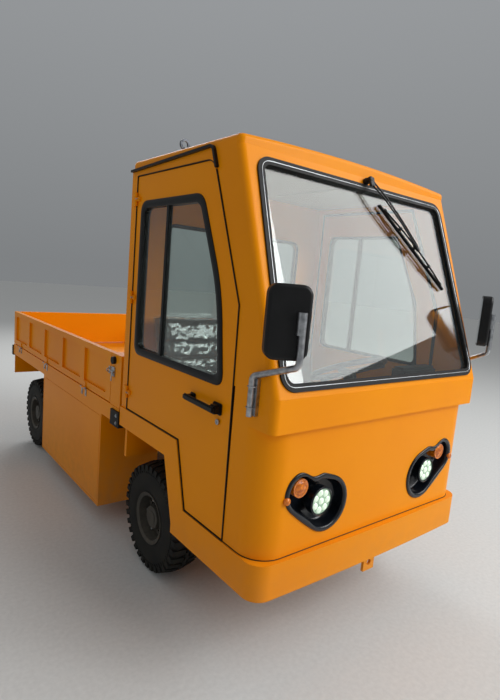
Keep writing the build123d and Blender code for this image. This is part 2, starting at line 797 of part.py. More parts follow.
# Guard plates behind the rear wheels, with the rear lamps on them
guard_y = bed_rear_y - 26
guard_x = body_half - 110
guard_low = 500
with BuildPart() as rear_guards:
    for side in (1, -1):
        with Locations((side * guard_x, guard_y, (bed_frame_bottom + guard_low) / 2)):
            Box(200, 12, bed_frame_bottom - guard_low)
with BuildPart() as rear_lamps:
    for side in (1, -1):
        with Locations((side * guard_x, guard_y + 6 + 9, guard_low + 85)):
            Box(150, 18, 80)
    fillet(rear_lamps.edges().filter_by(Axis.Y), 16)

# Battery boxes under the bed, one each side
box_front_y = nose_y + 1415
box_rear_y = rear_axle_y - tyre_radius - 98
box_low = 115
box_inner_x = rail_x + rail_width / 2
with BuildPart() as battery_boxes:
    for side in (1, -1):
        box_outer = body_half - 5
        box_middle_y = (box_front_y + box_rear_y) / 2
        box_middle_z = (box_low + bed_frame_bottom) / 2
        box_length = box_rear_y - box_front_y
        box_height = bed_frame_bottom - box_low
        with Locations((side * (box_outer + box_inner_x) / 2, box_middle_y, box_middle_z)):
            Box(box_outer - box_inner_x, box_length, box_height)
        # a shallow groove all round leaves the lid's outline on the outer face
        outer_x = side * box_outer
        with Locations((outer_x, box_middle_y, box_middle_z)):
            Box(4, box_length - 24, box_height - 24, mode=Mode.SUBTRACT)
        with Locations((outer_x - side * 2.5, box_middle_y, box_middle_z)):
            Box(5, box_length - 34, box_height - 34)


def leaf_spring(middle_x, axle_y, low_z, rise, half_length):
    """Five leaves in a bundle: the lowest is the shortest, the top one reaches the hangers."""
    leaf = 9
    with BuildPart() as bundle:
        for row in range(5):
            reach = half_length * (1 - 0.2 * (4 - row))
            middle_z = low_z + leaf * (row + 0.5)
            end_z = middle_z + rise * (reach / half_length) ** 2
            with BuildSketch(Plane.YZ.offset(middle_x - 25)):
                with BuildLine():
                    ThreePointArc((axle_y - reach, end_z), (axle_y, middle_z), (axle_y + reach, end_z))
                trace(line_width=leaf + 0.2)
            extrude(amount=50)
    return bundle.part


axle_z = tyre_radius
with BuildPart() as leaf_springs:
    for side in (1, -1):
        front_rise = rail_low - axle_z - beam_half - 53
        rear_rise = rail_high_low - axle_z - 155
        front_seat_z = axle_z + beam_half + 0.1
        rear_seat_z = axle_z + 50.1
        add(leaf_spring(side * rail_x, front_axle_y, front_seat_z, front_rise, front_spring_reach))
        add(leaf_spring(side * rail_x, rear_axle_y, rear_seat_z, rear_rise, rear_spring_reach))
    add(chassis_frame.part, mode=Mode.SUBTRACT)

# Front axle beam with an eye at each end for the kingpins
eye_r = 34
fork_gap = 1
fork_thick = 14
with BuildPart() as front_axle:
    with Locations((0, front_axle_y, axle_z)):
        Box(2 * kingpin_x, 2 * beam_half, 2 * beam_half)
    for side in (1, -1):
        with Locations((side * kingpin_x, front_axle_y, axle_z)):
            Cylinder(eye_r, 2 * beam_half)
            Cylinder(pin_r + fit_gap, 4 * beam_half, mode=Mode.SUBTRACT)
        with Locations((side * rail_x, front_axle_y, axle_z + beam_half - 2)):
            Box(62, 90, 4)

# Knuckles: fork, kingpin, web and wheel spindle in one
web_x = kingpin_x + eye_r + 4
spindle_end = track_outside / 2 - 40
knuckles = {}
for name, side in fit_x.items():
    fork_low = beam_half + fork_gap
    with BuildPart() as knuckle:
        with Locations((side * kingpin_x, front_axle_y, axle_z)):
            Cylinder(pin_r, 2 * (fork_low + fork_thick))
        for up in (1, -1):
            fork_z = axle_z + up * (fork_low + fork_thick / 2)
            with Locations((side * kingpin_x, front_axle_y, fork_z)):
                Cylinder(eye_r, fork_thick)
            with Locations((side * (kingpin_x + web_x + 14) / 2, front_axle_y, fork_z)):
                Box(web_x + 14 - kingpin_x, 2 * eye_r - 16, fork_thick)
        with Locations((side * (web_x + 7), front_axle_y, axle_z)):
            Box(14, 2 * eye_r - 4, 2 * (fork_low + fork_thick))
        with Locations(Location((side * (web_x + spindle_end) / 2, front_axle_y, axle_z), (0, 90, 0))):
            Cylinder(spindle_r, spindle_end - web_x)
    knuckles[name] = knuckle.part

# Driven rear axle: tube, gear case and the electric motor ahead of it
case_r = 128
case_width = 170
motor_r = 95
motor_length = 330
with BuildPart() as rear_axle:
    tube_half = kingpin_x + 55
    with Locations(Location((0, rear_axle_y, axle_z), (0, 90, 0))):
        Cylinder(48, 2 * tube_half)
        Cylinder(spindle_r, 2 * spindle_end)
    with Locations(Location((0, rear_axle_y, axle_z), (0, 90, 0))):
        Cylinder(case_r, case_width)
    rounds = rear_axle.edges().filter_by(GeomType.CIRCLE)
    fillet([e for e in rounds if abs(e.radius - case_r) < 0.01], 35)
    for side in (1, -1):
        with Locations((side * rail_x, rear_axle_y, axle_z + 40)):
            Box(62, 90, 20)
with BuildPart() as drive_motor:
    with Locations(Location((0, rear_axle_y - case_r + 30 - motor_length / 2, axle_z), (90, 0, 0))):
        Cylinder(motor_r, motor_length)
    with Locations(Location((0, rear_axle_y - case_r + 30 - motor_length - 20, axle_z), (90, 0, 0))):
        Cylinder(motor_r - 30, 40)
    add(rear_axle.part, mode=Mode.SUBTRACT)

# Wheels: the tyre and the rim are turned about the axle line
bead_r = rim_radius
tread_corner = 22
with BuildPart() as tyre_blank:
    with BuildSketch(Plane.XZ):
        half = tyre_width / 2
        with BuildLine():
            Polyline((-half + 14, bead_r), (half - 14, bead_r))
            ThreePointArc((half - 14, bead_r), (half, (bead_r + tyre_radius) / 2),
                          (half - 8, tyre_radius - tread_corner))
            Polyline((half - 8, tyre_radius - tread_corner), (half - 26, tyre_radius),
                     (-half + 26, tyre_radius), (-half + 8, tyre_radius - tread_corner))
            ThreePointArc((-half + 8, tyre_radius - tread_corner), (-half, (bead_r + tyre_radius) / 2),
                          (-half + 14, bead_r))
        make_face()
    revolve(axis=Axis.X)
with BuildPart() as rim_blank:
    # barrel, then the dish with its hub on the outer side (+X)
    rim_half = tyre_width / 2 - 12
    with BuildSketch(Plane.XZ):
        with BuildLine():
            Polyline([
                (-rim_half, bead_r),
                (rim_half, bead_r),
                (rim_half + 6, bead_r + 12),
                (rim_half + 12, bead_r + 12),
                (rim_half + 6, bead_r - 6),
                (20, bead_r - 16),
                (20, 70),
                (34, 60),
                (60, 54),
                (60, 30),
                (44, 30),
                (44, spindle_r + fit_gap),
                (-10, spindle_r + fit_gap),
                (-10, 52),
                (10, 60),
                (10, bead_r - 16),
                (-rim_half - 6, bead_r - 6),
                (-rim_half - 12, bead_r + 12),
                (-rim_half - 6, bead_r + 12),
            ], close=True)
        make_face()
    revolve(axis=Axis.X)
    with BuildSketch(Plane.YZ.offset(5)):
        with PolarLocations(78, 5):
            Circle(9)
    extrude(amount=30)
    with Locations(Location((58, 0, 0), (0, 90, 0))):
        Cylinder(30, 8)

wheels = {}
for end, axle_y in (("front", front_axle_y), ("rear", rear_axle_y)):
    for name, side in fit_x.items():
        place = Location((side * wheel_x, axle_y, axle_z), (0, 0, 0 if side > 0 else 180))
        wheels["tyre_" + end + "_" + name] = tyre_blank.part.moved(place)
        wheels["rim_" + end + "_" + name] = rim_blank.part.moved(place)

# Tow plate under the nose and the pin coupling at the tail
tow_hole_r = 13
tow_low = 270
coupling_pin_r = 12
coupling_y = tail_y - 27
coupling_low = 392
coupling_gap = 52
with BuildPart() as tow_fittings:
    with Locations((15, nose_y + 42, (bumper_low + tow_low) / 2)):
        Box(70, 12, bumper_low - tow_low)
    with BuildSketch(Plane.XZ.offset(-nose_y - 60)):
        with Locations((15, tow_low + 36)):
            Circle(tow_hole_r)
    extrude(amount=40, mode=Mode.SUBTRACT)
    with Locations((0, tail_y - 60 + 8, (rail_high + 370) / 2)):
        Box(180, 16, rail_high - 370)
    for up in (-1, 1):
        jaw_z = coupling_low + coupling_gap / 2 + up * (coupling_gap / 2 + 8)
        with Locations((0, coupling_y, jaw_z)):
            Box(90, 40, 16)
            Cylinder(coupling_pin_r, 18, mode=Mode.SUBTRACT)

pieces = {
    "chassis_frame": chassis_frame.part,
    "cab_skirt": cab_skirt.part,
    "cab_floor": cab_floor.part,
    "cab_front": cab_front.part,
    "cab_brow": cab_brow.part,
    "cab_upper": cab_upper.part,
    "cab_roof": cab_roof.part,
    "cab_rear_wall": cab_rear_wall.part,
    "windscreen_seal": windscreen_seal.part,
    "windscreen_glass": windscreen_glass.part,
    "rear_glass": rear_glass.part,
    "drip_rails": drip_rails.part,
    "dashboard": dashboard.part,
    "seats": seats.part,
    "steering_column": steering_column.part,
    "steering_wheel": steering_wheel.part,
    "lamp_pods": lamp_pods.part,
    "headlamps": headlamps.part,
    "indicators": indicators.part,
    "wiper": wiper.part,
    "mirror_arms": mirror_arms.part,
    "mirror_heads": mirror_heads.part,
    "lifting_rings": lifting_rings.part,
    "bed_frame": bed_frame.part,
    "bed_members": bed_members.part,
    "bed_floor": bed_floor.part,
    "headboard": headboard.part,
    "tailgate": tailgate.part,
    "hinge_straps": hinge_straps.part,
    "rubber_blocks": rubber_blocks.part,
    "rear_guards": rear_guards.part,
    "rear_lamps": rear_lamps.part,
    "battery_boxes": battery_boxes.part,
    "leaf_springs": leaf_springs.part,
    "front_axle": front_axle.part,
    "rear_axle": rear_axle.part,
    "drive_motor": drive_motor.part,
    "tow_fittings": tow_fittings.part,
}
for name in fit_x:
    pieces["door_" + name] = door_body[name]
    pieces["door_trim_" + name] = door_trim[name]
    pieces["door_glass_" + name] = door_glass[name]
    pieces["side_board_" + name] = side_boards[name]
    pieces["knuckle_" + name] = knuckles[name]
pieces.update(wheels)

for name, piece in pieces.items():
    piece.label = name
    export_step(piece, f"parts/{name}.step")
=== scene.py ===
import bmesh
import bpy
from math import cos, pi, radians, sin
from mathutils import Matrix, Vector, noise


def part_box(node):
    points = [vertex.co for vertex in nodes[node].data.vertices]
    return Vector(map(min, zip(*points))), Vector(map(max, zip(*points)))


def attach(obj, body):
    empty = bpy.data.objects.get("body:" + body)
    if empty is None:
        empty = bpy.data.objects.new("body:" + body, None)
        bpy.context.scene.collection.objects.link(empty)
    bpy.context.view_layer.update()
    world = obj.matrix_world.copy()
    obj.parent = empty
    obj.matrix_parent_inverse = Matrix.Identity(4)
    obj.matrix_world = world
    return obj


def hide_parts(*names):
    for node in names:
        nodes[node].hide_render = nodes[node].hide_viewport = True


# Studio picture of an orange electric platform truck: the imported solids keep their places, and
# this script gives them paint, rubber and glass and adds the pieces too fine for the solids.

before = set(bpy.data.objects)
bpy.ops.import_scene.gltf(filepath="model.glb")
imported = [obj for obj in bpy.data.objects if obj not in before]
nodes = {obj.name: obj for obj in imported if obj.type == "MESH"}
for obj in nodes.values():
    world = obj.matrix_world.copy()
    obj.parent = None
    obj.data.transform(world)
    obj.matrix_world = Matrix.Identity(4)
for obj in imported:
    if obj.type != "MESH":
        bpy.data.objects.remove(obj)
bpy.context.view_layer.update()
scene = bpy.context.scene
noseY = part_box("cab_skirt")[0].y
panelY = noseY + 0.027  # face of the lower front panel
doorFace = 0.642  # outer face of the doors, the skirt and the bed's posts, from the middle
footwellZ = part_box("cab_floor")[0].z + 0.020  # top of the footwell's plate


# Helpers

# An sRGB hex colour as linear RGBA.
def tone(code):
    parts = [int(code[i:i + 2], 16) / 255 for i in (1, 3, 5)]
    return [p / 12.92 if p < 0.04045 else ((p + 0.055) / 1.055) ** 2.4 for p in parts] + [1]


# A shader node with its fields, socket values and incoming links.
def addNode(tree, kind, values=None, links=None, **fields):
    node = tree.nodes.new(kind)
    for key, value in fields.items():
        setattr(node, key, value)
    for socket, value in (values or {}).items():
        node.inputs[socket].default_value = value
    for socket, source in (links or {}).items():
        tree.links.new(source, node.inputs[socket])
    return node


# An empty node material, its tree and the object coordinates in metres.
def newMaterial(name):
    material = bpy.data.materials.new(name)
    material.use_nodes = True
    tree = material.node_tree
    tree.nodes.clear()
    place = addNode(tree, "ShaderNodeTexCoord").outputs["Object"]
    return material, tree, place


# Adds the surface shader and the output.
def finishMaterial(material, tree, values, links):
    shader = addNode(tree, "ShaderNodeBsdfPrincipled", values, links)
    addNode(tree, "ShaderNodeOutputMaterial", links={"Surface": shader.outputs[0]})
    return material


# Noise whose marks are about size metres across.
def grain(tree, place, size, detail=3):
    return addNode(tree, "ShaderNodeTexNoise", {"Scale": 1 / size, "Detail": detail}, {"Vector": place})


# A colour ramp over a factor, from (position, colour) stops.
def ramp(tree, source, stops):
    node = addNode(tree, "ShaderNodeValToRGB", links={"Fac": source})
    elements = node.color_ramp.elements
    for index, (position, colour) in enumerate(stops):
        element = elements[index] if index < 2 else elements.new(position)
        element.position = position
        element.color = colour
    return node.outputs["Color"]


# A bump from a height, distance in metres.
def relief(tree, height, strength, distance):
    return addNode(tree, "ShaderNodeBump", {"Strength": strength, "Distance": distance},
                   {"Height": height}).outputs["Normal"]


# A factor stretched from 0..1 to low..high.
def spread(tree, source, low, high):
    return addNode(tree, "ShaderNodeMapRange", {"To Min": low, "To Max": high},
                   {"Value": source}).outputs["Result"]


# Materials: every pattern size is a real one in metres

# Satin two-pack paint: orange peel, slow colour drift, and road dust low down.
# The peel is drawn at 3 to 4 mm, coarser than the real 1 mm, so that it shows.
def makePaint(name, settings):
    material, tree, place = newMaterial(name)
    drift = grain(tree, place, settings["driftSize"]).outputs["Fac"]
    base = ramp(tree, drift, [(0.25, tone(settings["deep"])), (0.75, tone(settings["bright"]))])
    height = addNode(tree, "ShaderNodeSeparateXYZ", links={"Vector": place}).outputs["Z"]
    low = addNode(tree, "ShaderNodeMapRange",
                  {"From Min": settings["dustTop"], "From Max": settings["dustLow"],
                   "To Min": 0, "To Max": settings["dust"]},
                  {"Value": height}).outputs["Result"]
    speckle = grain(tree, place, settings["dustSize"], 6).outputs["Fac"]
    film = addNode(tree, "ShaderNodeMath", links={0: low, 1: speckle}, operation="MULTIPLY").outputs[0]
    colour = addNode(tree, "ShaderNodeMix", {"B": tone(settings["dustColour"])},
                     {"Factor": film, "A": base}, data_type="RGBA")
    peel = grain(tree, place, settings["peelSize"], 1).outputs["Fac"]
    rough = addNode(tree, "ShaderNodeMath", {1: settings["rough"]}, {0: film}, operation="ADD").outputs[0]
    return finishMaterial(material, tree,
                          {"Coat Weight": settings["coat"], "Coat Roughness": 0.08,
                           "Specular IOR Level": settings["shine"]},
                          {"Base Color": colour.outputs["Result"], "Roughness": rough,
                           "Normal": relief(tree, peel, strength=0.12, distance=0.0004)})


# Orange cab and bed enamel: sprayed, satin, almost no mirror image
orangePaint = dict(deep="#EE8C00", bright="#F99A00", driftSize=0.9, dustTop=0.55, dustLow=0.1, dust=0.5,
                   dustSize=0.05, dustColour="#9C8A70", peelSize=0.004, rough=0.38, coat=0.03, shine=0.11)
# Black chassis paint over steel: satin, greyed by road dust
chassisPaint = dict(deep="#101010", bright="#1D1D1C", driftSize=0.2, dustTop=0.8, dustLow=0.1, dust=0.7,
                    dustSize=0.03, dustColour="#6E6658", peelSize=0.003, rough=0.45, coat=0.1, shine=0.4)
# Light grey paint of the cab's inside: flat, clean
liningPaint = dict(deep="#B9BAB6", bright="#CACAC6", driftSize=0.4, dustTop=0.2, dustLow=0.1, dust=0.1,
                   dustSize=0.05, dustColour="#9C9482", peelSize=0.003, rough=0.55, coat=0.0, shine=0.4)


# Moulded plastic or rubber with a fine pebbled skin and a slow change of sheen. The pebbles are
# drawn at 1 to 2 mm, coarser than the real 0.3 mm, so that they show.
def makeMoulded(name, settings):
    material, tree, place = newMaterial(name)
    drift = grain(tree, place, settings["driftSize"]).outputs["Fac"]
    base = ramp(tree, drift, [(0.3, tone(settings["deep"])), (0.7, tone(settings["bright"]))])
    pebble = addNode(tree, "ShaderNodeTexVoronoi", {"Scale": 1 / settings["pebble"]}, {"Vector": place})
    rough = spread(tree, drift, settings["rough"] - 0.06, settings["rough"] + 0.08)
    return finishMaterial(material, tree,
                          {"Coat Weight": settings["coat"], "Coat Roughness": 0.1,
                           "Specular IOR Level": 0.25},
                          {"Base Color": base, "Roughness": rough,
                           "Normal": relief(tree, pebble.outputs["Distance"], strength=0.25,
                                            distance=settings["pebble"] / 6)})


# ABS of mirrors, surrounds and handles, moulded with a texture: black with a soft grey sheen
blackPlastic = dict(deep="#0C0C0D", bright="#161617", driftSize=0.08, pebble=0.0016, rough=0.42, coat=0.06)
# ABS of the lamp pods, moulded smooth: blue-black and fairly glossy
podPlastic = dict(deep="#0A0D12", bright="#151A21", driftSize=0.05, pebble=0.0012, rough=0.22, coat=0.3)
# EPDM of seals, mats and corner blocks, extruded or pressed: black and dull; also the black strips of painted
# shade in the door and skirt seams
sealRubber = dict(deep="#0B0B0B", bright="#171716", driftSize=0.06, pebble=0.001, rough=0.55, coat=0.0)
# Polypropylene of the dashboard, moulded: dark grey, pebbled, no gloss
dashPlastic = dict(deep="#1E2023", bright="#2B2D30", driftSize=0.2, pebble=0.002, rough=0.6, coat=0.0)
# Vinyl of the seats, embossed: near black, with a faint sheen on the crowns
seatVinyl = dict(deep="#141416", bright="#222326", driftSize=0.1, pebble=0.0025, rough=0.5, coat=0.1)
# Vulcanised tyre rubber: black, greyed by dust, dull
tyreRubber = dict(deep="#141414", bright="#25241F", driftSize=0.09, pebble=0.0015, rough=0.75, coat=0.0)


# Plated or brushed steel with cloudy patches and scratches 25 mm long and 1.1 mm wide: finer
# ones wouldn't show.
def makeMetal(name, settings):
    material, tree, place = newMaterial(name)
    cloud = grain(tree, place, settings["cloud"]).outputs["Fac"]
    base = ramp(tree, cloud, [(0.3, tone(settings["deep"])), (0.7, tone(settings["bright"]))])
    stretched = addNode(tree, "ShaderNodeMapping", {"Scale": (40, 40, 900)}, {"Vector": place})
    scratch = addNode(tree, "ShaderNodeTexNoise", {"Scale": 1, "Detail": 2},
                      {"Vector": stretched.outputs["Vector"]}).outputs["Fac"]
    rough = spread(tree, scratch, settings["rough"] - 0.08, settings["rough"] + 0.12)
    return finishMaterial(material, tree, {"Metallic": 1},
                          {"Base Color": base, "Roughness": rough,
                           "Normal": relief(tree, scratch, strength=0.08, distance=0.0003)})


# Zinc-plated steel of mirror tubes, hinges and screws: cool grey in cloudy patches
zincSteel = dict(deep="#8E9094", bright="#C3C5C8", cloud=0.02, rough=0.3)
# Bead in the windscreen rubber, chromed: a thin bright line
brightTrim = dict(deep="#A9ACAF", bright="#C9CCCF", cloud=0.05, rough=0.15)


# Thin clear pane or film: see-through, with a reflection that grows at a slant and faint wipes.
def makeGlass(name, settings):
    material, tree, place = newMaterial(name)
    smear = grain(tree, place, settings["smearSize"], 5).outputs["Fac"]
    rough = spread(tree, smear, 0.0, settings["smear"])
    gloss = addNode(tree, "ShaderNodeBsdfGlossy", {"Color": (1, 1, 1, 1)}, {"Roughness": rough})
    clear = addNode(tree, "ShaderNodeBsdfTransparent", {"Color": tone(settings["tint"])})
    facing = addNode(tree, "ShaderNodeLayerWeight", {"Blend": 0.5}).outputs["Facing"]
    slant = addNode(tree, "ShaderNodeMath", {1: 5}, {0: facing}, operation="POWER").outputs[0]
    mirrored = spread(tree, slant, settings["facing"], settings["grazing"])
    film = addNode(tree, "ShaderNodeMixShader",
                   links={0: mirrored, 1: clear.outputs[0], 2: gloss.outputs[0]})
    haze = addNode(tree, "ShaderNodeBsdfDiffuse", {"Color": tone(settings["dust"])})
    amount = spread(tree, smear, 0.0, settings["haze"])
    both = addNode(tree, "ShaderNodeMixShader",
                   links={0: amount, 1: film.outputs[0], 2: haze.outputs[0]})
    addNode(tree, "ShaderNodeOutputMaterial", links={"Surface": both.outputs[0]})
    return material


# Laminated safety glass of the windows: clear, with a strong pale reflection at a slant
windowGlass = dict(tint="#F2F7F5", dust="#C9CCCB", facing=0.06, grazing=0.9, smearSize=0.25, smear=0.03,
                   haze=0.035)
# Polythene film over the new seats, crumpled: bright glints, a little milky
wrapFilm = dict(tint="#F6F8F8", dust="#E8ECEE", facing=0.12, grazing=0.95, smearSize=0.05, smear=0.15,
                haze=0.1)


# Polycarbonate lamp plastic, moulded with ribs: glossy, and a little lit from within.
def makeLens(name, settings):
    material, tree, place = newMaterial(name)
    ribs = addNode(tree, "ShaderNodeTexWave", {"Scale": 1 / settings["rib"], "Distortion": 0.2},
                   {"Vector": place}, bands_direction="Z")
    cloud = grain(tree, place, 0.01).outputs["Fac"]
    base = ramp(tree, cloud, [(0.3, tone(settings["deep"])), (0.7, tone(settings["bright"]))])
    return finishMaterial(material, tree,
                          {"Roughness": 0.18, "Coat Weight": settings["coat"], "Coat Roughness": 0.03,
                           "Emission Strength": settings["glow"]},
                          {"Base Color": base, "Emission Color": base,
                           "Normal": relief(tree, ribs.outputs["Fac"], settings["ribDepth"],
                                            distance=0.001)})


# Amber of the indicators and markers
amberLens = dict(coat=0.25, deep="#A34A00", bright="#E67E00", rib=0.03, ribDepth=0.5, glow=0.08)
# Red of the rear lamps
redLens = dict(coat=0.6, deep="#7A0606", bright="#B01010", rib=0.03, ribDepth=0.5, glow=0.05)
# White of the lenses over the light diodes
whiteLens = dict(coat=0.6, deep="#C3D9C2", bright="#E4F2DE", rib=0.02, ribDepth=0.2, glow=0.55)
# Pale green reflector behind the diodes
lampReflector = dict(deep="#7E9A82", bright="#A9C2A8", rib=0.006, ribDepth=0.3, glow=0.35, coat=0.3)
# Dark oiled steel of the lifting rings
ringSteel = dict(deep="#34363A", bright="#5A5D62", cloud=0.02, rough=0.4)
# Silvered mirror glass: a bright metal with little roughness
mirrorFace = dict(deep="#D6DADC", bright="#E6E9EA", cloud=0.3, rough=0.08)

paints = {
    "orange": makePaint("orangeEnamel", orangePaint),
    "chassis": makePaint("blackChassisPaint", chassisPaint),
    "lining": makePaint("greyCabPaint", liningPaint),
    "plastic": makeMoulded("blackTexturedPlastic", blackPlastic),
    "pod": makeMoulded("blackPodPlastic", podPlastic),
    "rubber": makeMoulded("blackSealRubber", sealRubber),
    "dash": makeMoulded("greyDashPlastic", dashPlastic),
    "seat": makeMoulded("blackSeatVinyl", seatVinyl),
    "tyre": makeMoulded("dustyTyreRubber", tyreRubber),
    "zinc": makeMetal("zincPlatedSteel", zincSteel),
    "bright": makeMetal("brightSealBead", brightTrim),
    "mirror": makeMetal("silveredMirrorGlass", mirrorFace),
    "glass": makeGlass("clearSafetyGlass", windowGlass),
    "wrap": makeGlass("crumpledClearFilm", wrapFilm),
    "amber": makeLens("amberLampPlastic", amberLens),
    "red": makeLens("redLampPlastic", redLens),
    "white": makeLens("whiteDiodeLens", whiteLens),
    "reflector": makeLens("greenLampReflector", lampReflector),
    "ring": makeMetal("oiledRingSteel", ringSteel),
}
nodePaint = {
    "chassis_frame": "chassis", "windscreen_seal": "rubber", "windscreen_glass": "glass",
    "rear_glass": "glass", "drip_rails": "plastic", "dashboard": "dash", "seats": "seat",
    "steering_column": "dash", "steering_wheel": "plastic", "lamp_pods": "pod", "headlamps": "pod",
    "indicators": "amber", "wiper": "plastic", "mirror_arms": "zinc", "mirror_heads": "plastic",
    "lifting_rings": "ring", "rubber_blocks": "rubber", "rear_lamps": "red", "leaf_springs": "chassis",
    "front_axle": "chassis", "rear_axle": "chassis", "drive_motor": "chassis", "hinge_straps": "zinc",
}
# the same for nodes whose names start alike
groupPaint = {"tyre": "tyre", "rim": "chassis", "knuckle": "chassis", "door_trim": "plastic",
              "door_glass": "glass"}
for name, node in nodes.items():
    key = nodePaint.get(name, "orange")
    for start, other in groupPaint.items():
        if name.startswith(start):
            key = other
    node.data.materials.clear()
    node.data.materials.append(paints[key])
print("materials done")


# Mesh helpers

# A finished object from a bmesh, riding on a body.
def makePiece(name, mesh, body, paint, smooth=35):
    data = bpy.data.meshes.new(name)
    mesh.to_mesh(data)
    mesh.free()
    data.materials.append(paints[paint])
    piece = bpy.data.objects.new(name, data)
    scene.collection.objects.link(piece)
    data.shade_smooth()
    data.set_sharp_from_angle(angle=radians(smooth))
    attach(piece, body)
    return piece


# Turns the faces of every shell outward.
def faceOutward(mesh):
    bmesh.ops.recalc_face_normals(mesh, faces=mesh.faces)


# Quads from each ring of vertices to the next; closed also joins the last ring to the first.
def addLoft(mesh, rings, closed=False):
    count = len(rings[0])
    for k in range(len(rings) if closed else len(rings) - 1):
        here, there = rings[k], rings[(k + 1) % len(rings)]
        for i in range(count):
            j = (i + 1) % count
            mesh.faces.new((here[i], here[j], there[j], there[i]))


# A turned shell from (radius, along) points about the matrix's Z axis.
def addTurned(mesh, profile, matrix, steps=48):
    rings = []
    for step in range(steps):
        angle = 2 * pi * step / steps
        rings.append([mesh.verts.new(matrix @ Vector((r * cos(angle), r * sin(angle), z)))
                      for r, z in profile])
    for step in range(steps):
        here, there = rings[step], rings[(step + 1) % steps]
        for i in range(len(profile) - 1):
            mesh.faces.new((here[i], there[i], there[i + 1], here[i + 1]))


# A box bar with softened edges.
def addBar(mesh, centre, size, bevel=0.0, turn=None):
    place = Matrix.Translation(centre) @ (turn or Matrix.Identity(4)) @ Matrix.Diagonal((*size, 1))
    made = bmesh.ops.create_cube(mesh, size=1, matrix=place)
    if bevel:
        edges = {e for v in made["verts"] for e in v.link_edges}
        bmesh.ops.bevel(mesh, geom=list(edges), offset=bevel, segments=2, affect="EDGES")


# A round bar along points.
def addTube(mesh, points, radius, steps=10, closed=False):
    points = [Vector(p) for p in points]
    count = len(points)
    rings = []
    for i, point in enumerate(points):
        before = points[(i - 1) % count] if closed or i else point
        after = points[(i + 1) % count] if closed or i < count - 1 else point
        along = (after - before).normalized()
        side = along.orthogonal() if not rings else side - along * side.dot(along)
        side.normalize()
        up = along.cross(side)
        ring = []
        for step in range(steps):
            angle = 2 * pi * step / steps
            ring.append(mesh.verts.new(point + (side * cos(angle) + up * sin(angle)) * radius))
        rings.append(ring)
    addLoft(mesh, rings, closed)
    if not closed:
        mesh.faces.new(rings[0][::-1])
        mesh.faces.new(rings[-1])


# A closed outline with its corners rounded off, by one radius or by one for each corner.
def roundedLoop(corners, radius, steps=7):
    flat = []
    for i, corner in enumerate(corners):
        here = Vector(corner)
        r = radius[i] if isinstance(radius, list) else radius
        before = (Vector(corners[i - 1]) - here).normalized() * r
        after = (Vector(corners[(i + 1) % len(corners)]) - here).normalized() * r
        for step in range(steps):
            part = step / (steps - 1)
            flat.append((here + before) * (1 - part) ** 2 + here * 2 * part * (1 - part)
                        + (here + after) * part ** 2)
    return flat


boltSettings = dict(r=0.0065, height=0.005)


# A domed six-sided bolt head on a washer, standing out along a direction.
def addBolt(mesh, spot, outward, r=boltSettings["r"], height=boltSettings["height"]):
    turn = Vector(outward).to_track_quat("Z", "Y").to_matrix().to_4x4()
    place = Matrix.Translation(spot) @ turn
    washer = [(r * 1.5, 0), (r * 1.5, height * 0.25), (r, height * 0.3)]
    addTurned(mesh, washer, place, 16)
    head = [(r, height * 0.25), (r, height * 0.85), (r * 0.8, height), (0.0003, height * 1.02)]
    addTurned(mesh, head, place, 6)


alongX = Matrix.Rotation(pi / 2, 4, "Y")
facingNose = Matrix.Rotation(pi / 2, 4, "X")
bothSides = (("left", 1), ("right", -1))

# Tyres: a carcass with shoulder lugs and a blocked centre. The lugs' feet and tops are depths
# under the tread, in the middle and at the shoulder.
tyreSettings = dict(inset=0.0004, beadR=0.1145, lugs=34, lugDepth=0.012, lugInset=0.003, lugLean=0.12,
                    lugFoot=(0.014, 0.042), lugTop=(0, 0.012), ribs=60, ribR=0.222, ribIn=0.0022,
                    ribSize=(0.003, 0.004, 0.016))
# each lug: how far across it starts and ends, and where it starts and its share in a pitch
lugRows = ((0.2, 1.0, 0.0, 0.56), (-0.06, 0.16, 0.45, 0.5))


def makeTyre(name, node, body):
    s = tyreSettings
    low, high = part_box(node)
    radius = (high.z - low.z) / 2 - s["inset"]
    half = (high.x - low.x) / 2
    base, bead = radius - s["lugDepth"], s["beadR"]
    place = Matrix.Translation((low + high) / 2) @ alongX
    mesh = bmesh.new()
    # half the section: bead, sidewall, shoulder
    wall = [(bead, half - 0.016), (bead + 0.014, half - 0.004), (0.16, half), (0.2, half - 0.001),
            (base - 0.03, half - 0.004), (base - 0.012, half - 0.012), (base, half - 0.028)]
    addTurned(mesh, [(r, -x) for r, x in wall] + wall[::-1], place, 72)
    pitch = 2 * pi / s["lugs"]
    for turn in range(s["lugs"]):
        for side in (1, -1):
            for inner, outer, offset, share in lugRows:
                start = (turn + offset + (0.5 if side < 0 else 0)) * pitch
                corners = []
                for depths in (s["lugFoot"], s["lugTop"]):
                    for across in (inner, outer):
                        reach = radius - depths[across == 1.0]
                        x = side * across * (half - s["lugInset"])
                        for end in (0, share):
                            angle = start + (end + s["lugLean"] * across) * pitch
                            spot = Vector((reach * cos(angle), reach * sin(angle), x))
                            corners.append(mesh.verts.new(place @ spot))
                a, b, c, d, e, f, g, h = corners
                for face in ((a, b, d, c), (e, g, h, f), (a, c, g, e),
                             (b, f, h, d), (c, d, h, g), (a, e, f, b)):
                    mesh.faces.new(face)
    # fine ribs round the sidewall
    for step in range(s["ribs"]):
        angle = 2 * pi * step / s["ribs"]
        turn = Matrix.Rotation(pi / 2 - angle, 4, "X")
        for side in (1, -1):
            spot = Vector((s["ribR"] * cos(angle), s["ribR"] * sin(angle), side * (half - s["ribIn"])))
            addBar(mesh, place @ spot, s["ribSize"], turn=turn)
    faceOutward(mesh)
    tyre = makePiece(name, mesh, body, "tyre")
    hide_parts(node)


nutSettings = dict(count=5, circleR=0.078, out=0.034, r=0.0085, height=0.011)


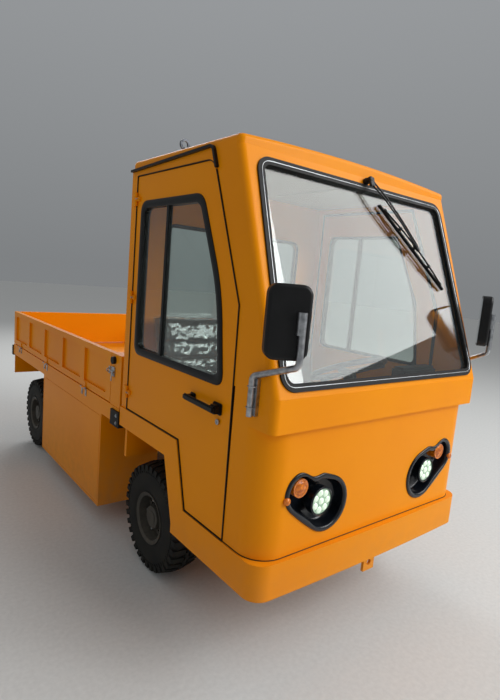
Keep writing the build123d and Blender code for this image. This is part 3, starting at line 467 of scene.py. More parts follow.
def makeWheelNuts(name, node, body, outward):
    s = nutSettings
    low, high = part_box(node)
    mesh = bmesh.new()
    profile = [(0.001, (s["height"] + 0.001) * outward), (s["r"] - 0.001, s["height"] * outward), (s["r"], 0)]
    for turn in range(s["count"]):
        angle = 2 * pi * turn / s["count"]
        shift = Vector((outward * s["out"], s["circleR"] * cos(angle), s["circleR"] * sin(angle)))
        addTurned(mesh, profile, Matrix.Translation((low + high) / 2 + shift) @ alongX, 6)
    makePiece(name, mesh, body, "zinc", 30)


for end in ("front", "rear"):
    for side, outward in bothSides:
        makeTyre(f"treadTyre_{end}_{side}", f"tyre_{end}_{side}", f"wheel_{end}_{side}")
        makeWheelNuts(f"wheelNuts_{end}_{side}", f"rim_{end}_{side}", f"wheel_{end}_{side}", outward)
print("wheels done")

# Head lamps: domed diode lenses on a pale plate, in a black rim
lampSettings = dict(x=0.344, z=0.668, r=0.0575, wall=0.009, diodes=7, ringR=0.034, plate=0.0012)
diodeDome = ((0.0005, 0.007), (0.006, 0.0062), (0.0105, 0.004), (0.0135, lampSettings["plate"]))


def makeHeadlamps():
    s = lampSettings
    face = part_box("headlamps")[0].y
    lenses, rims, plates = bmesh.new(), bmesh.new(), bmesh.new()
    r, inner = s["r"], s["r"] - s["wall"]
    spots = [(0, 0)]
    for i in range(s["diodes"]):
        angle = 2 * pi * i / s["diodes"]
        spots.append((s["ringR"] * cos(angle), s["ringR"] * sin(angle)))
    for side in (1, -1):
        place = Matrix.Translation((side * s["x"], face, s["z"])) @ facingNose
        addTurned(rims, [(r, -0.02), (r, 0.004), (r - 0.006, 0.007), (inner, 0.002), (inner, -0.004)], place)
        addTurned(plates, [(0.0005, s["plate"]), (inner, s["plate"])], place)
        for u, v in spots:
            addTurned(lenses, diodeDome, place @ Matrix.Translation((u, v, 0)), 20)
    makePiece("lampLenses", lenses, "truck", "white")
    makePiece("lampRims", rims, "truck", "pod")
    makePiece("lampPlates", plates, "truck", "reflector")


# Amber indicators: low domes with round ridges
indicatorSettings = dict(x=0.452, z=0.738, r=0.035, height=0.012, rings=9, ridge=0.0014, seat=0.01)


def makeIndicators():
    s = indicatorSettings
    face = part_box("indicators")[0].y
    mesh = bmesh.new()
    profile = [(0.0005, s["height"])]
    for i in range(1, s["rings"]):
        part = i / s["rings"]
        profile.append((s["r"] * part, s["height"] * (1 - part ** 2) + (s["ridge"] if i % 2 else 0)))
    profile.append((s["r"], 0.0))
    for side in (1, -1):
        place = Matrix.Translation((side * s["x"], face + s["seat"], s["z"])) @ facingNose
        addTurned(mesh, profile, place)
    makePiece("indicatorDomes", mesh, "truck", "amber", 60)


# Lamp pods: a smooth heart-shaped bowl with a rolled rim. The outline wraps three round lobes
# and has one round dip; each is (x, z, radius).
podSettings = dict(centre=(0.375, 0.690), dip=(0.384, 0.822, 0.060), steps=120, depth=0.0489, smoothings=2,
                   lobes=((0.452, 0.724, 0.072), (0.312, 0.652, 0.100), (0.300, 0.690, 0.062)))
# how far out from the outline and how far back from the panel, round the rim and down the bowl
podSection = ((0.0125, 0.0005), (0.0120, -0.0035), (0.0085, -0.0062), (0.0, -0.0068), (-0.0070, -0.0052),
              (-0.0100, -0.0010), (-0.0115, 0.008), (-0.0130, 0.025), (-0.0170, 0.042),
              (-0.0260, podSettings["depth"]))


# How far the pod's outline is from its centre, for each step of the turn.
def podReach():
    s = podSettings
    count = s["steps"]
    centre = Vector(s["centre"])
    dip, dipR = Vector(s["dip"][:2]), s["dip"][2]
    reach = []
    for step in range(count):
        angle = 2 * pi * step / count
        along = Vector((cos(angle), sin(angle)))
        best = 1
        for k in range(count * 2):
            normal = Vector((cos(pi * k / count), sin(pi * k / count)))
            slope = along.dot(normal)
            if slope > 0.05:
                support = max(normal.x * x + normal.y * z + r for x, z, r in s["lobes"])
                best = min(best, (support - centre.dot(normal)) / slope)
        nearest = (dip - centre).dot(along)
        apart = ((dip - centre) - along * nearest).length
        if apart < dipR and nearest > 0:
            best = min(best, nearest - (dipR ** 2 - apart ** 2) ** 0.5)
        reach.append(best)
    for turn in range(s["smoothings"]):
        reach = [sum(reach[(i + k) % count] for k in range(-2, 3)) / 5 for i in range(count)]
    return reach


def makePods():
    s = podSettings
    centre = Vector(s["centre"])
    reach = podReach()
    count = len(reach)
    mesh = bmesh.new()
    for side in (1, -1):
        rings = []
        for outward, back in podSection:
            ring = []
            for step in range(count):
                angle = 2 * pi * step / count
                spot = centre + Vector((cos(angle), sin(angle))) * (reach[step] + outward)
                ring.append(mesh.verts.new((side * spot.x, panelY + back, spot.y)))
            rings.append(ring)
        addLoft(mesh, rings)
        hub = mesh.verts.new((side * centre.x, panelY + s["depth"], centre.y))
        for i in range(count):
            mesh.faces.new((rings[-1][i], rings[-1][(i + 1) % count], hub))
    faceOutward(mesh)
    pods = makePiece("heartPods", mesh, "truck", "pod", 50)
    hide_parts("lamp_pods")


makeHeadlamps()
makeIndicators()
makePods()
print("lamps done")

# Windscreen: its raked plane, and the bright bead laid in the rubber
screenSettings = dict(footIn=0.006, topIn=0.310, halfLow=0.611, halfHigh=0.581, low=0.02, high=0.034,
                      inset=0.016, corner=0.05, beadR=0.0017, beadOut=0.0072)


# The windscreen's plane: its foot, the way up it, the way out of it and its length.
def screenPlane():
    base = Vector((0, noseY + screenSettings["footIn"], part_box("cab_brow")[1].z))
    top = Vector((0, noseY + screenSettings["topIn"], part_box("cab_upper")[1].z))
    along = (top - base).normalized()
    return base, along, Vector((1, 0, 0)).cross(along), (top - base).length


# A spot over the windscreen: across, up from its foot, and out of the glass.
def onScreen(x, up, height):
    base, along, out = screenPlane()[:3]
    return base + Vector((x, 0, 0)) + along * up + out * height


def makeBead():
    s = screenSettings
    length = screenPlane()[3]
    low, high = s["low"] + s["inset"], length - s["high"] - s["inset"]
    halfLow, halfHigh = s["halfLow"] - s["inset"], s["halfHigh"] - s["inset"]
    corners = [(-halfLow, low), (halfLow, low), (halfHigh, high), (-halfHigh, high)]
    flat = roundedLoop(corners, s["corner"], 9)
    mesh = bmesh.new()
    addTube(mesh, [onScreen(p.x, p.y, s["beadOut"]) for p in flat], s["beadR"], 8, True)
    makePiece("windscreenBead", mesh, "truck", "bright", 60)


makeBead()

# Wiper: a spindle cap and two thin rods, in places (across, up) on the windscreen; the spindle's
# is from its top
wiperSettings = dict(spindle=(0.023, -0.020), joint=(0.285, 0.610), block=(0.030, 0.044, 0.012),
                     blockAt=(0.006, -0.012, 0.030), rodR=0.0036, rodGap=0.009, rodDown=0.01, rodsMeet=0.45,
                     jointBlock=(0.040, 0.020, 0.013), jointOut=0.026)
wiperCap = ((0.015, 0), (0.015, 0.012), (0.012, 0.014), (0.012, 0.032), (0.009, 0.0375), (0.0003, 0.039))
# share of the way along the rods, and height over the glass
rodHeights = ((0, 0.032), (0.25, 0.041), (0.6, 0.040), (1, 0.031))
# its blade: a rubber lip under a stiff back, held by a bowed spring with claws
bladeSettings = dict(foot=(0.090, 0.790), tip=(0.480, 0.430), lip=(0.0042, 0.0125), lipOut=-0.0005,
                     back=(0.0085, 0.004), backOut=0.0075, backPart=0.99, springR=0.0038, springOut=0.011,
                     springIn=0.06, bow=0.013, claw=(0.012, 0.0125), clawOut=0.006, clawTall=0.010,
                     clawParts=(0.07, 0.28, 0.5, 0.72, 0.93))


# The rods run from under the spindle and close in on the joint.
def addRods(mesh, start):
    s = wiperSettings
    joint = Vector(s["joint"])
    way = (joint - start).normalized()
    across = Vector((-way.y, way.x))
    for shift in (-s["rodGap"], s["rodGap"]):
        points = []
        for part, height in rodHeights:
            spot = start.lerp(joint, part) + across * shift * (1 - s["rodsMeet"] * part)
            points.append(onScreen(spot.x, spot.y, height))
        addTube(mesh, points, s["rodR"], 10)


def addBlade(mesh):
    s = bladeSettings
    along, out = screenPlane()[1:3]
    foot, tip = Vector(s["foot"]), Vector(s["tip"])
    line, middle, reach = (tip - foot).normalized(), (foot + tip) / 2, (tip - foot).length
    lengthwise = Vector((line.x, 0, 0)) + along * line.y
    crosswise = Vector((-line.y, 0, 0)) + along * line.x
    turn = Matrix((lengthwise, crosswise, out)).transposed().to_4x4()
    addBar(mesh, onScreen(middle.x, middle.y, s["lipOut"]), (reach, *s["lip"]), 0.001, turn)
    back = (reach * s["backPart"], *s["back"])
    addBar(mesh, onScreen(middle.x, middle.y, s["backOut"]), back, 0.0012, turn)
    bowed = []
    span = 1 - 2 * s["springIn"]
    for step in range(17):
        part = step / 16
        spot = foot.lerp(tip, s["springIn"] + span * part)
        bowed.append(onScreen(spot.x, spot.y, s["springOut"] + s["bow"] * sin(pi * part)))
    addTube(mesh, bowed, s["springR"], 8)
    for part in s["clawParts"]:
        spot = foot.lerp(tip, part)
        tall = s["clawTall"] + s["bow"] * sin(pi * (part - s["springIn"]) / span)
        claw = onScreen(spot.x, spot.y, s["clawOut"] + tall / 2)
        addBar(mesh, claw, (*s["claw"], tall), 0.0015, turn)
    joint = onScreen(*wiperSettings["joint"], wiperSettings["jointOut"])
    addBar(mesh, joint, wiperSettings["jointBlock"], 0.003, turn)


def makeWiper():
    s = wiperSettings
    along, out, length = screenPlane()[1:]
    mesh = bmesh.new()
    x, up = s["spindle"][0], s["spindle"][1] + length
    turn = Matrix((Vector((1, 0, 0)), along, out)).transposed().to_4x4()
    addTurned(mesh, wiperCap, Matrix.Translation(onScreen(x, up, 0)) @ turn, 28)
    blockX, blockUp, blockOut = s["blockAt"]
    addBar(mesh, onScreen(x + blockX, up + blockUp, blockOut), s["block"], 0.003, turn)
    addRods(mesh, Vector((x, up - s["rodDown"])))
    addBlade(mesh)
    wiper = makePiece("screenWiper", mesh, "truck", "plastic", 40)
    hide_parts("wiper")


makeWiper()

# Seats: crowned cushions with sewn channels, under loose clear film. The places are behind and
# above the low front edge for the cushion, and the high rear edge and the foot for the backrest.
padSettings = dict(crown=0.012, pull=0.03, groove=0.008, grooveSharp=18, edge=0.8, edgeDrop=0.3)
seatSettings = dict(x=0.3, tilt=78, rows=26, filmRows=52, filmGrow=0.012,
                    cushion=(0.46, 0.45, 0.095), cushionAt=(0.245, 0.052), cushionSeams=(-0.45, 0, 0.45),
                    backrest=(0.44, 0.42, 0.075), backrestAt=(-0.092, 0.33), backrestSeams=(-0.4, 0, 0.4),
                    crease=0.011, creasesPerMetre=24, creaseWay=(0, -0.5, 0.86))


# A padded block: its sides pull in between the corners and its top is crowned and channelled.
def addPad(mesh, centre, size, turn, seams, rows):
    s = padSettings
    grid = {}
    for layer in (0, 1):
        for i in range(rows + 1):
            for j in range(rows + 1):
                u, v = i / rows * 2 - 1, j / rows * 2 - 1
                edge = max(abs(u), abs(v))
                dome = (1 - u ** 4) * (1 - v ** 4)
                pull = 1 - s["pull"] * (1 - min(u * u, v * v))
                groove = sum(s["groove"] * max(0, 1 - abs(v - c) * s["grooveSharp"]) for c in seams)
                drop = s["edgeDrop"] * size.z * max(0, (edge - s["edge"]) / (1 - s["edge"])) ** 2
                top = size.z / 2 - drop + s["crown"] * dome - groove
                spot = Vector((u * size.x / 2 * pull, v * size.y / 2 * pull, top if layer else -size.z / 2))
                grid[layer, i, j] = mesh.verts.new(centre + turn @ spot)
    for i in range(rows):
        for j in range(rows):
            mesh.faces.new((grid[1, i, j], grid[1, i + 1, j], grid[1, i + 1, j + 1], grid[1, i, j + 1]))
            mesh.faces.new((grid[0, i, j], grid[0, i, j + 1], grid[0, i + 1, j + 1], grid[0, i + 1, j]))
    for k in range(rows):
        n = k + 1
        mesh.faces.new((grid[0, k, 0], grid[0, n, 0], grid[1, n, 0], grid[1, k, 0]))
        mesh.faces.new((grid[0, k, rows], grid[1, k, rows], grid[1, n, rows], grid[0, n, rows]))
        mesh.faces.new((grid[0, 0, k], grid[1, 0, k], grid[1, 0, n], grid[0, 0, n]))
        mesh.faces.new((grid[0, rows, k], grid[0, rows, n], grid[1, rows, n], grid[1, rows, k]))


def makeSeats():
    s = seatSettings
    low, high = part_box("seats")
    level, tilt = Matrix.Identity(3), Matrix.Rotation(radians(s["tilt"]), 3, "X")
    for name, side in bothSides:
        cushionCentre = Vector((side * s["x"], low.y + s["cushionAt"][0], low.z + s["cushionAt"][1]))
        backCentre = Vector((side * s["x"], high.y + s["backrestAt"][0], low.z + s["backrestAt"][1]))
        pads, film = bmesh.new(), bmesh.new()
        for mesh, grow, rows in ((pads, 0, s["rows"]), (film, s["filmGrow"], s["filmRows"])):
            more = Vector((grow, grow, grow))
            addPad(mesh, cushionCentre, Vector(s["cushion"]) + more, level, s["cushionSeams"], rows)
            addPad(mesh, backCentre, Vector(s["backrest"]) + more, tilt, s["backrestSeams"], rows)
        for vert in film.verts:
            crease = 0.5 - abs(noise.fractal(vert.co * s["creasesPerMetre"], 0.9, 2.1, 3))
            vert.co += Vector(s["creaseWay"]) * s["crease"] * crease
        cushions = makePiece(f"seatPads_{name}", pads, "truck", "seat", 50)
        if side > 0:
            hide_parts("seats")
        makePiece(f"seatFilm_{name}", film, "truck", "wrap", 30)


makeSeats()
print("cab pieces done")

# Mirror glass on the rear side of each head
mirrorSettings = dict(turn=30, out=0.0215, size=(0.116, 0.003, 0.21))


def makeMirrorGlass():
    s = mirrorSettings
    mesh = bmesh.new()
    heads = nodes["mirror_heads"].data.vertices
    for side in (1, -1):
        spots = [v.co for v in heads if v.co.x * side > 0]
        low = Vector([min(p[i] for p in spots) for i in range(3)])
        high = Vector([max(p[i] for p in spots) for i in range(3)])
        turn = Matrix.Rotation(radians(s["turn"] * side), 4, "Z")
        outward = turn @ Vector((0, 1, 0))
        addBar(mesh, (low + high) / 2 + outward * s["out"], s["size"], 0.0012, turn)
    makePiece("mirrorGlass", mesh, "truck", "mirror", 30)


makeMirrorGlass()

# Doors. The outline runs from the low front corner up and round the knee over the wheel band,
# as (behind the nose, above the floor).
doorSettings = dict(outline=((0.230, 0.496), (0.241, 1.374), (0.462, 1.892), (1.098, 1.892)),
                    knee=(0.500, 0.587), overBand=0.006, topRound=0.045, hingeOut=0.0095, thick=0.028)
# rubber seal behind the leaf: growth over the outline, and depth behind the inner face
sealSection = ((0.009, 0.0015), (0.009, 0.0065), (-0.012, 0.0065), (-0.012, 0.0015))
# black strip in the seam, painted shade of the door gap: growth over the outline, and depth under the outer
# face
seamShadeSection = ((0.0014, 0.002), (0.0054, 0.002), (0.0054, 0.012), (0.0014, 0.012))
# filler behind the door's rounded corner: its shift from the arc and from the outline's corner
gussetSettings = dict(shift=(-0.0035, 0.0052), tip=(-0.0065, 0.0065), depths=(0.0004, 0.0275))
lockSettings = dict(y=0.31, z=0.93, hingeY=1.101, hingeZ=(0.86, 1.33, 1.79), screwY=(-0.026, -0.012))
lockBarrel = ((0.011, -0.002), (0.011, 0.002), (0.009, 0.0032), (0.0004, 0.0032))
linerSettings = dict(y=0.72, z=0.90, size=(0.005, 0.70, 0.20), pullZ=0.96, pullR=0.006,
                     pull=((0.42, 0.004), (0.44, 0.034), (0.58, 0.034), (0.60, 0.004)))


def doorOutline():
    s = doorSettings
    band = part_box("cab_skirt")[1].z + s["overBand"]
    points = [*s["outline"], (s["outline"][3][0], band), (s["knee"][1], band),
              (s["knee"][0], s["outline"][0][1])]
    return [Vector((noseY + y, z)) for y, z in points]


# The seal's outline grows outward at every corner but the knee, which turns the other way.
def makeDoorSeal(name, side, outline, inner):
    count, knee = len(outline), 5
    centre = sum(outline, Vector((0, 0))) / count
    mesh = bmesh.new()
    rings = []
    for grow, depth in sealSection:
        ring = []
        for i, here in enumerate(outline):
            before = (here - outline[i - 1]).normalized()
            after = (outline[(i + 1) % count] - here).normalized()
            normal = Vector((before.y + after.y, -before.x - after.x)).normalized()
            if i == knee:
                normal = Vector((-1, -1)).normalized()
            elif normal.dot(here - centre) < 0:
                normal = -normal
            spot = here + normal * grow
            ring.append(mesh.verts.new((side * (inner - depth), spot.x, spot.y)))
        rings.append(ring)
    addLoft(mesh, rings, True)
    faceOutward(mesh)
    makePiece(f"doorSeal_{name}", mesh, "truck", "rubber", 30)


# The black strip in the seam, painted shade standing in for the shade in the door gap, and the filler behind
# the door's rounded top front corner.
def makeSeamShadeAndGusset(name, side, outline, face):
    arc = roundedLoop(outline[1:4], doorSettings["topRound"])[7:14]
    path = outline[:2] + arc + outline[3:]
    count = len(path)
    strip = bmesh.new()
    rows = []
    for grow, depth in seamShadeSection:
        row = []
        for i, here in enumerate(path):
            before = (here - path[i - 1]).normalized()
            after = (path[(i + 1) % count] - here).normalized()
            normal = Vector((-before.y - after.y, before.x + after.x)).normalized()
            stretch = 1 / max(0.5, normal.dot(Vector((-after.y, after.x))))
            spot = here + normal * grow * stretch
            row.append(strip.verts.new((side * (face - depth), spot.x, spot.y)))
        rows.append(row)
    addLoft(strip, rows, True)
    faceOutward(strip)
    # the black strip is painted shade of the gap; the real seal is the doorSeal behind the leaf
    makePiece(f"seamShadeStrip_{name}", strip, "truck", "rubber", 30)
    gusset = bmesh.new()
    s = gussetSettings
    flat = [p + Vector(s["shift"]) for p in arc] + [outline[2] + Vector(s["tip"])]
    sides = [[gusset.verts.new((side * (face - depth), p.x, p.y)) for p in flat] for depth in s["depths"]]
    gusset.faces.new(sides[0])
    gusset.faces.new(sides[1][::-1])
    addLoft(gusset, sides)
    faceOutward(gusset)
    makePiece(f"doorGusset_{name}", gusset, "truck", "orange", 30)


# The lock barrel with its key slot, and the hinge screws.
def makeDoorMetal(name, side, face):
    s = lockSettings
    mesh = bmesh.new()
    turn = Matrix.Rotation(side * pi / 2, 4, "Y")
    addTurned(mesh, lockBarrel, Matrix.Translation((side * face, noseY + s["y"], s["z"])) @ turn, 24)
    addBar(mesh, (side * (face + 0.0033), noseY + s["y"], s["z"]), (0.0008, 0.0014, 0.009))
    for z in s["hingeZ"]:
        for step in s["screwY"]:
            spot = (side * (face + 0.008), noseY + s["hingeY"] + step, z)
            addBolt(mesh, spot, (side, 0, 0), 0.0028, 0.0022)
    makePiece(f"doorMetal_{name}", mesh, f"door_{name}", "zinc", 30)


# The grey liner inside the leaf and its pull.
def makeDoorLiner(name, side, inner):
    s = linerSettings
    mesh = bmesh.new()
    addBar(mesh, (side * (inner - 0.003), noseY + s["y"], s["z"]), s["size"], 0.002)
    points = [(side * (inner - depth), noseY + y, s["pullZ"]) for y, depth in s["pull"]]
    addTube(mesh, points, s["pullR"])
    makePiece(f"doorLiner_{name}", mesh, f"door_{name}", "lining", 40)


def makeDoorFittings(name, side):
    low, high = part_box(f"door_{name}")
    face = max(abs(low.x), abs(high.x)) - doorSettings["hingeOut"]
    inner = face - doorSettings["thick"]
    outline = doorOutline()
    makeDoorSeal(name, side, outline, inner)
    makeSeamShadeAndGusset(name, side, outline, face)
    makeDoorMetal(name, side, face)
    makeDoorLiner(name, side, inner)


# Door windows: a black surround with rounded corners and its divider
windowSettings = dict(outline=((0.298, 1.062), (0.350, 1.418), (0.520, 1.780), (1.050, 1.780),
                               (1.050, 1.062)),
                      rounds=(0.057, 0.12, 0.057, 0.057, 0.057), innerLess=0.017, width=0.034,
                      divider=0.800, bar=(0.020, 0.024), barDepth=0.010, barIn=0.02)
# share of the way from the outer to the inner loop, and height over the door's face
trimSection = ((0.0, 0.0003), (0.03, 0.0040), (0.12, 0.0059), (0.5, 0.0059), (0.9, 0.0050), (1.0, 0.0020),
               (1.0, -0.0275), (0.65, -0.0275), (0.65, 0.0003))


def makeWindowTrim(name, side):
    s = windowSettings
    outer = [Vector((noseY + y, z)) for y, z in s["outline"]]
    count = len(outer)
    centre = sum(outer, Vector((0, 0))) / count
    inner = []
    for i, here in enumerate(outer):
        before = (here - outer[i - 1]).normalized()
        after = (outer[(i + 1) % count] - here).normalized()
        normal = Vector((before.y + after.y, -before.x - after.x)).normalized()
        if normal.dot(centre - here) < 0:
            normal = -normal
        inner.append(here + normal * s["width"] / abs(normal.dot(Vector((after.y, -after.x)))))
    outerLoop = roundedLoop(outer, list(s["rounds"]), 9)
    innerLoop = roundedLoop(inner, [r - s["innerLess"] for r in s["rounds"]], 9)
    mesh = bmesh.new()
    rings = []
    for part, height in trimSection:
        rings.append([mesh.verts.new((side * (doorFace + height), *(a * (1 - part) + b * part)))
                      for a, b in zip(outerLoop, innerLoop)])
    addLoft(mesh, rings, True)
    faceOutward(mesh)
    low, top = s["outline"][0][1] + s["barIn"], s["outline"][2][1] - s["barIn"]
    spot = (side * (doorFace - s["barDepth"]), noseY + s["divider"], (low + top) / 2)
    addBar(mesh, spot, (*s["bar"], top - low), 0.003)
    trim = makePiece(f"windowTrim_{name}", mesh, f"door_{name}", "plastic", 40)
    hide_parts(f"door_trim_{name}")


# Door handle: a lever between two posts on their plates. Each block is its height over the face,
# its place behind the nose and above the floor, its size, edge and tilt.
handleBlocks = (
    (0.005, 0.318, 0.980, (0.010, 0.056, 0.046), 0.004, 0),
    (0.020, 0.316, 0.980, (0.030, 0.040, 0.034), 0.006, 0),
    (0.005, 0.492, 0.984, (0.010, 0.036, 0.032), 0.004, 0),
    (0.017, 0.495, 0.984, (0.026, 0.022, 0.020), 0.004, 0),
    (0.035, 0.405, 0.982, (0.015, 0.216, 0.024), 0.005, 1.5),
)


def makeDoorHandle(name, side):
    mesh = bmesh.new()
    for out, y, z, size, edge, tilt in handleBlocks:
        turn = Matrix.Rotation(radians(tilt), 4, "X")
        addBar(mesh, (side * (doorFace + out), noseY + y, z), size, edge, turn)
    makePiece(f"doorHandle_{name}", mesh, f"door_{name}", "plastic", 40)


# Bright screws of the board straps, the corner blocks and the mirror clamps
strapScrews = dict(apart=0.12, x=0.6490, z=0.713, steps=(-0.03, 0.03), r=0.0042, height=0.003)
# across, and along from the bed's front end or from the tail
blockBolts = dict(z=(0.668, 0.708), front=(0.630, -0.020), tail=(0.650, -0.016), frontSide=(0.655, 0.008))
clampSettings = dict(x=0.656, y=0.106, z=(1.042, 1.114), steps=(-0.0155, 0.0155), r=0.0028, height=0.006,
                     tubeOut=0.008, bow=(0.0125, 0.0145), bowR=0.0022)


def addStrapScrews(mesh):
    s = strapScrews
    straps = nodes["hinge_straps"].data.vertices
    face = max(abs(v.co.x) for v in straps)
    rows = sorted({round(v.co.y, 3) for v in straps if abs(v.co.x) > face - 0.001})
    groups = [[rows[0]]]
    for y in rows[1:]:
        if y - groups[-1][-1] > s["apart"]:
            groups.append([])
        groups[-1].append(y)
    for group in groups:
        middle = (group[0] + group[-1]) / 2
        for side in (1, -1):
            for step in s["steps"]:
                addBolt(mesh, (side * s["x"], middle + step, s["z"]), (side, 0, 0), s["r"], s["height"])


def addBlockBolts(mesh):
    s = blockBolts
    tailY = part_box("rubber_blocks")[1].y
    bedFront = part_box("bed_frame")[0].y
    for side in (1, -1):
        for z in s["z"]:
            for key, end, outward in (("front", bedFront, (0, -1, 0)), ("tail", tailY, (side, 0, 0)),
                                      ("frontSide", bedFront, (side, 0, 0))):
                x, y = s[key]
                addBolt(mesh, (side * x, end + y, z), outward)


# The clamps' screws, and the wire bows over the mirror tubes.
def addMirrorClamps(mesh):
    s = clampSettings
    y = noseY + s["y"]
    for side in (1, -1):
        for z in s["z"]:
            for step in s["steps"]:
                addBolt(mesh, (side * s["x"], y + step, z), (side, 0, 0), s["r"], s["height"])
            arc = []
            for k in range(11):
                angle = radians(-90 + 18 * k)
                out = s["x"] + s["tubeOut"] + s["bow"][0] * cos(angle)
                arc.append((side * out, y + s["bow"][1] * sin(angle), z))
            addTube(mesh, arc, s["bowR"], 8)


def makeScrews():
    mesh = bmesh.new()
    addStrapScrews(mesh)
    addBlockBolts(mesh)
    addMirrorClamps(mesh)
    makePiece("brightScrews", mesh, "truck", "zinc", 30)


# Drop-board catches: a bolt and lever on each post, and the loop that it enters on the board.
# Steps along the truck are from the board's front end, and heights from the bolt's middle.
catchSettings = dict(z=0.925, plate=(0.006, 0.044, 0.05), plateY=-0.034, boltOut=0.0085, boltR=0.005,
                     boltY=(-0.058, -0.005), lever=((0.0085, 0), (0.013, -0.025), (0.013, -0.050)),
                     leverY=-0.036, leverR=0.0035, screwY=(-0.05, -0.018), screwZ=(-0.017, 0.017),
                     loopY=0.016, loopR=0.0085, wireR=0.0028, loopPlate=(0.003, 0.02, 0.04))


def makeCatches():
    s = catchSettings
    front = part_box("side_board_left")[0].y
    z = s["z"]
    for name, side in bothSides:
        mesh = bmesh.new()
        addBar(mesh, (side * (doorFace + s["plate"][0] / 2), front + s["plateY"], z), s["plate"], 0.001)
        x = side * (doorFace + s["boltOut"])
        addTube(mesh, [(x, front + y, z) for y in s["boltY"]], s["boltR"], 12)
        lever = [(side * (doorFace + out), front + s["leverY"], z + up) for out, up in s["lever"]]
        addTube(mesh, lever, s["leverR"], 10)
        for y in s["screwY"]:
            for up in s["screwZ"]:
                spot = (side * (doorFace + s["plate"][0]), front + y, z + up)
                addBolt(mesh, spot, (side, 0, 0), 0.0026, 0.002)
        makePiece(f"catchBolt_{name}", mesh, "truck", "zinc", 30)
        keeper = bmesh.new()
        loop = []
        for k in range(16):
            angle = 2 * pi * k / 16
            out = doorFace + s["boltOut"] + s["loopR"] * cos(angle)
            loop.append((side * out, front + s["loopY"], z + s["loopR"] * sin(angle)))
        addTube(keeper, loop, s["wireR"], 8, True)
        spot = (side * (doorFace + s["loopPlate"][0] / 2), front + s["loopY"], z)
        addBar(keeper, spot, s["loopPlate"], 0.0008)
        makePiece(f"catchLoop_{name}", keeper, f"side_board_{name}", "zinc", 30)


# Rear window: rubber on both sides of the wall, and the bar between its panes
rearWindowSettings = dict(half=0.45, low=1.18, high=1.70, corner=0.05, rubberR=0.009, out=0.001,
                          bar=(0.027, 0.019, 0.515), barIn=0.008)


def makeRearWindow():
    s = rearWindowSettings
    wallLow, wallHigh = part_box("cab_rear_wall")
    mesh = bmesh.new()
    half, low, high = s["half"], s["low"], s["high"]
    loop = roundedLoop([(-half, low), (half, low), (half, high), (-half, high)], s["corner"])
    for y in (wallHigh.y + s["out"], wallLow.y - s["out"]):
        addTube(mesh, [(p.x, y, p.y) for p in loop], s["rubberR"], 8, True)
    addBar(mesh, (0, wallHigh.y - s["barIn"], (low + high) / 2), s["bar"], 0.004)
    makePiece("rearWindowRubber", mesh, "truck", "rubber", 60)


# Roof lining: a sheet with two padded fields
liningSettings = dict(width=1.19, shorter=0.06, thick=0.012, drop=0.007, back=0.01, padX=(-0.3, 0.3),
                      pad=(0.4, 0.5, 0.01), padDrop=0.016)


def makeRoofLining():
    s = liningSettings
    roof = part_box("cab_roof")[0]
    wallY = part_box("cab_rear_wall")[0].y
    middle = (roof.y + wallY) / 2
    mesh = bmesh.new()
    size = (s["width"], wallY - roof.y - s["shorter"], s["thick"])
    addBar(mesh, (0, middle + s["back"], roof.z - s["drop"]), size, 0.004)
    for x in s["padX"]:
        addBar(mesh, (x, middle, roof.z - s["padDrop"]), s["pad"], 0.004)
    makePiece("roofLining", mesh, "truck", "lining", 40)


# Dashboard: the hood over the gauges with its glass, and three rocker switches
gaugeSettings = dict(x=0.3, hood=(0.26, 0.07, 0.056), hoodY=0.06, glass=(0.2, 0.003, 0.036), glassY=0.0955,
                     glassZ=0.03, switchX=(-0.12, -0.04, 0.04), switch=(0.05, 0.008, 0.026), switchDrop=0.09)


def makeGauges():
    s = gaugeSettings
    low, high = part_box("dashboard")
    hood = bmesh.new()
    addBar(hood, (s["x"], low.y + s["hoodY"], high.z + s["hood"][2] / 2), s["hood"], 0.012)
    for x in s["switchX"]:
        addBar(hood, (x, high.y + 0.001, high.z - s["switchDrop"]), s["switch"], 0.003)
    makePiece("gaugeHood", hood, "truck", "plastic", 40)
    glass = bmesh.new()
    addBar(glass, (s["x"], low.y + s["glassY"], high.z + s["glassZ"]), s["glass"], 0.001)
    makePiece("gaugeGlass", glass, "truck", "pod", 40)


# Pedals: ribbed pads on bent arms; places are behind the nose and above the footwell
pedalSettings = dict(pads=((0.2, 0.075), (0.4, 0.055)), y=0.215, z=0.105, depth=0.1, thick=0.012, tilt=-55,
                     ribs=4, ribFirst=-0.033, ribStep=0.022, ribUp=0.008, rib=(0.9, 0.008, 0.004),
                     arm=((0.2, 0.11), (0.12, 0.13), (0.11, -0.002)), armR=0.008)


def makePedals():
    s = pedalSettings
    mesh = bmesh.new()
    turn = Matrix.Rotation(radians(s["tilt"]), 4, "X")
    for x, width in s["pads"]:
        centre = Vector((x, noseY + s["y"], footwellZ + s["z"]))
        addBar(mesh, centre, (width, s["depth"], s["thick"]), 0.003, turn)
        for rib in range(s["ribs"]):
            shift = turn @ Vector((0, s["ribFirst"] + s["ribStep"] * rib, s["ribUp"]))
            addBar(mesh, centre + shift, (width * s["rib"][0], *s["rib"][1:]), 0.001, turn)
        addTube(mesh, [(x, noseY + y, footwellZ + z) for y, z in s["arm"]], s["armR"])
    makePiece("pedals", mesh, "truck", "plastic", 40)


# The small amber marker on the outer edge of each lamp pod
markerSettings = dict(x=0.527, z=0.708, out=0.0005)
markerDome = ((0.015, -0.004), (0.015, 0.006), (0.013, 0.011), (0.008, 0.0145), (0.0004, 0.0155))


def makeMarkers():
    s = markerSettings
    mesh = bmesh.new()
    for side in (1, -1):
        place = Matrix.Translation((side * s["x"], panelY + s["out"], s["z"])) @ facingNose
        addTurned(mesh, markerDome, place, 28)
    makePiece("amberMarkers", mesh, "truck", "amber", 60)


# Rear lamps: a black frame and two ribs over each red lens
rearLampSettings = dict(width=0.15, corner=0.016, frameIn=0.006, frameR=0.0045, ribX=(-0.025, 0.025),
                        rib=0.003)


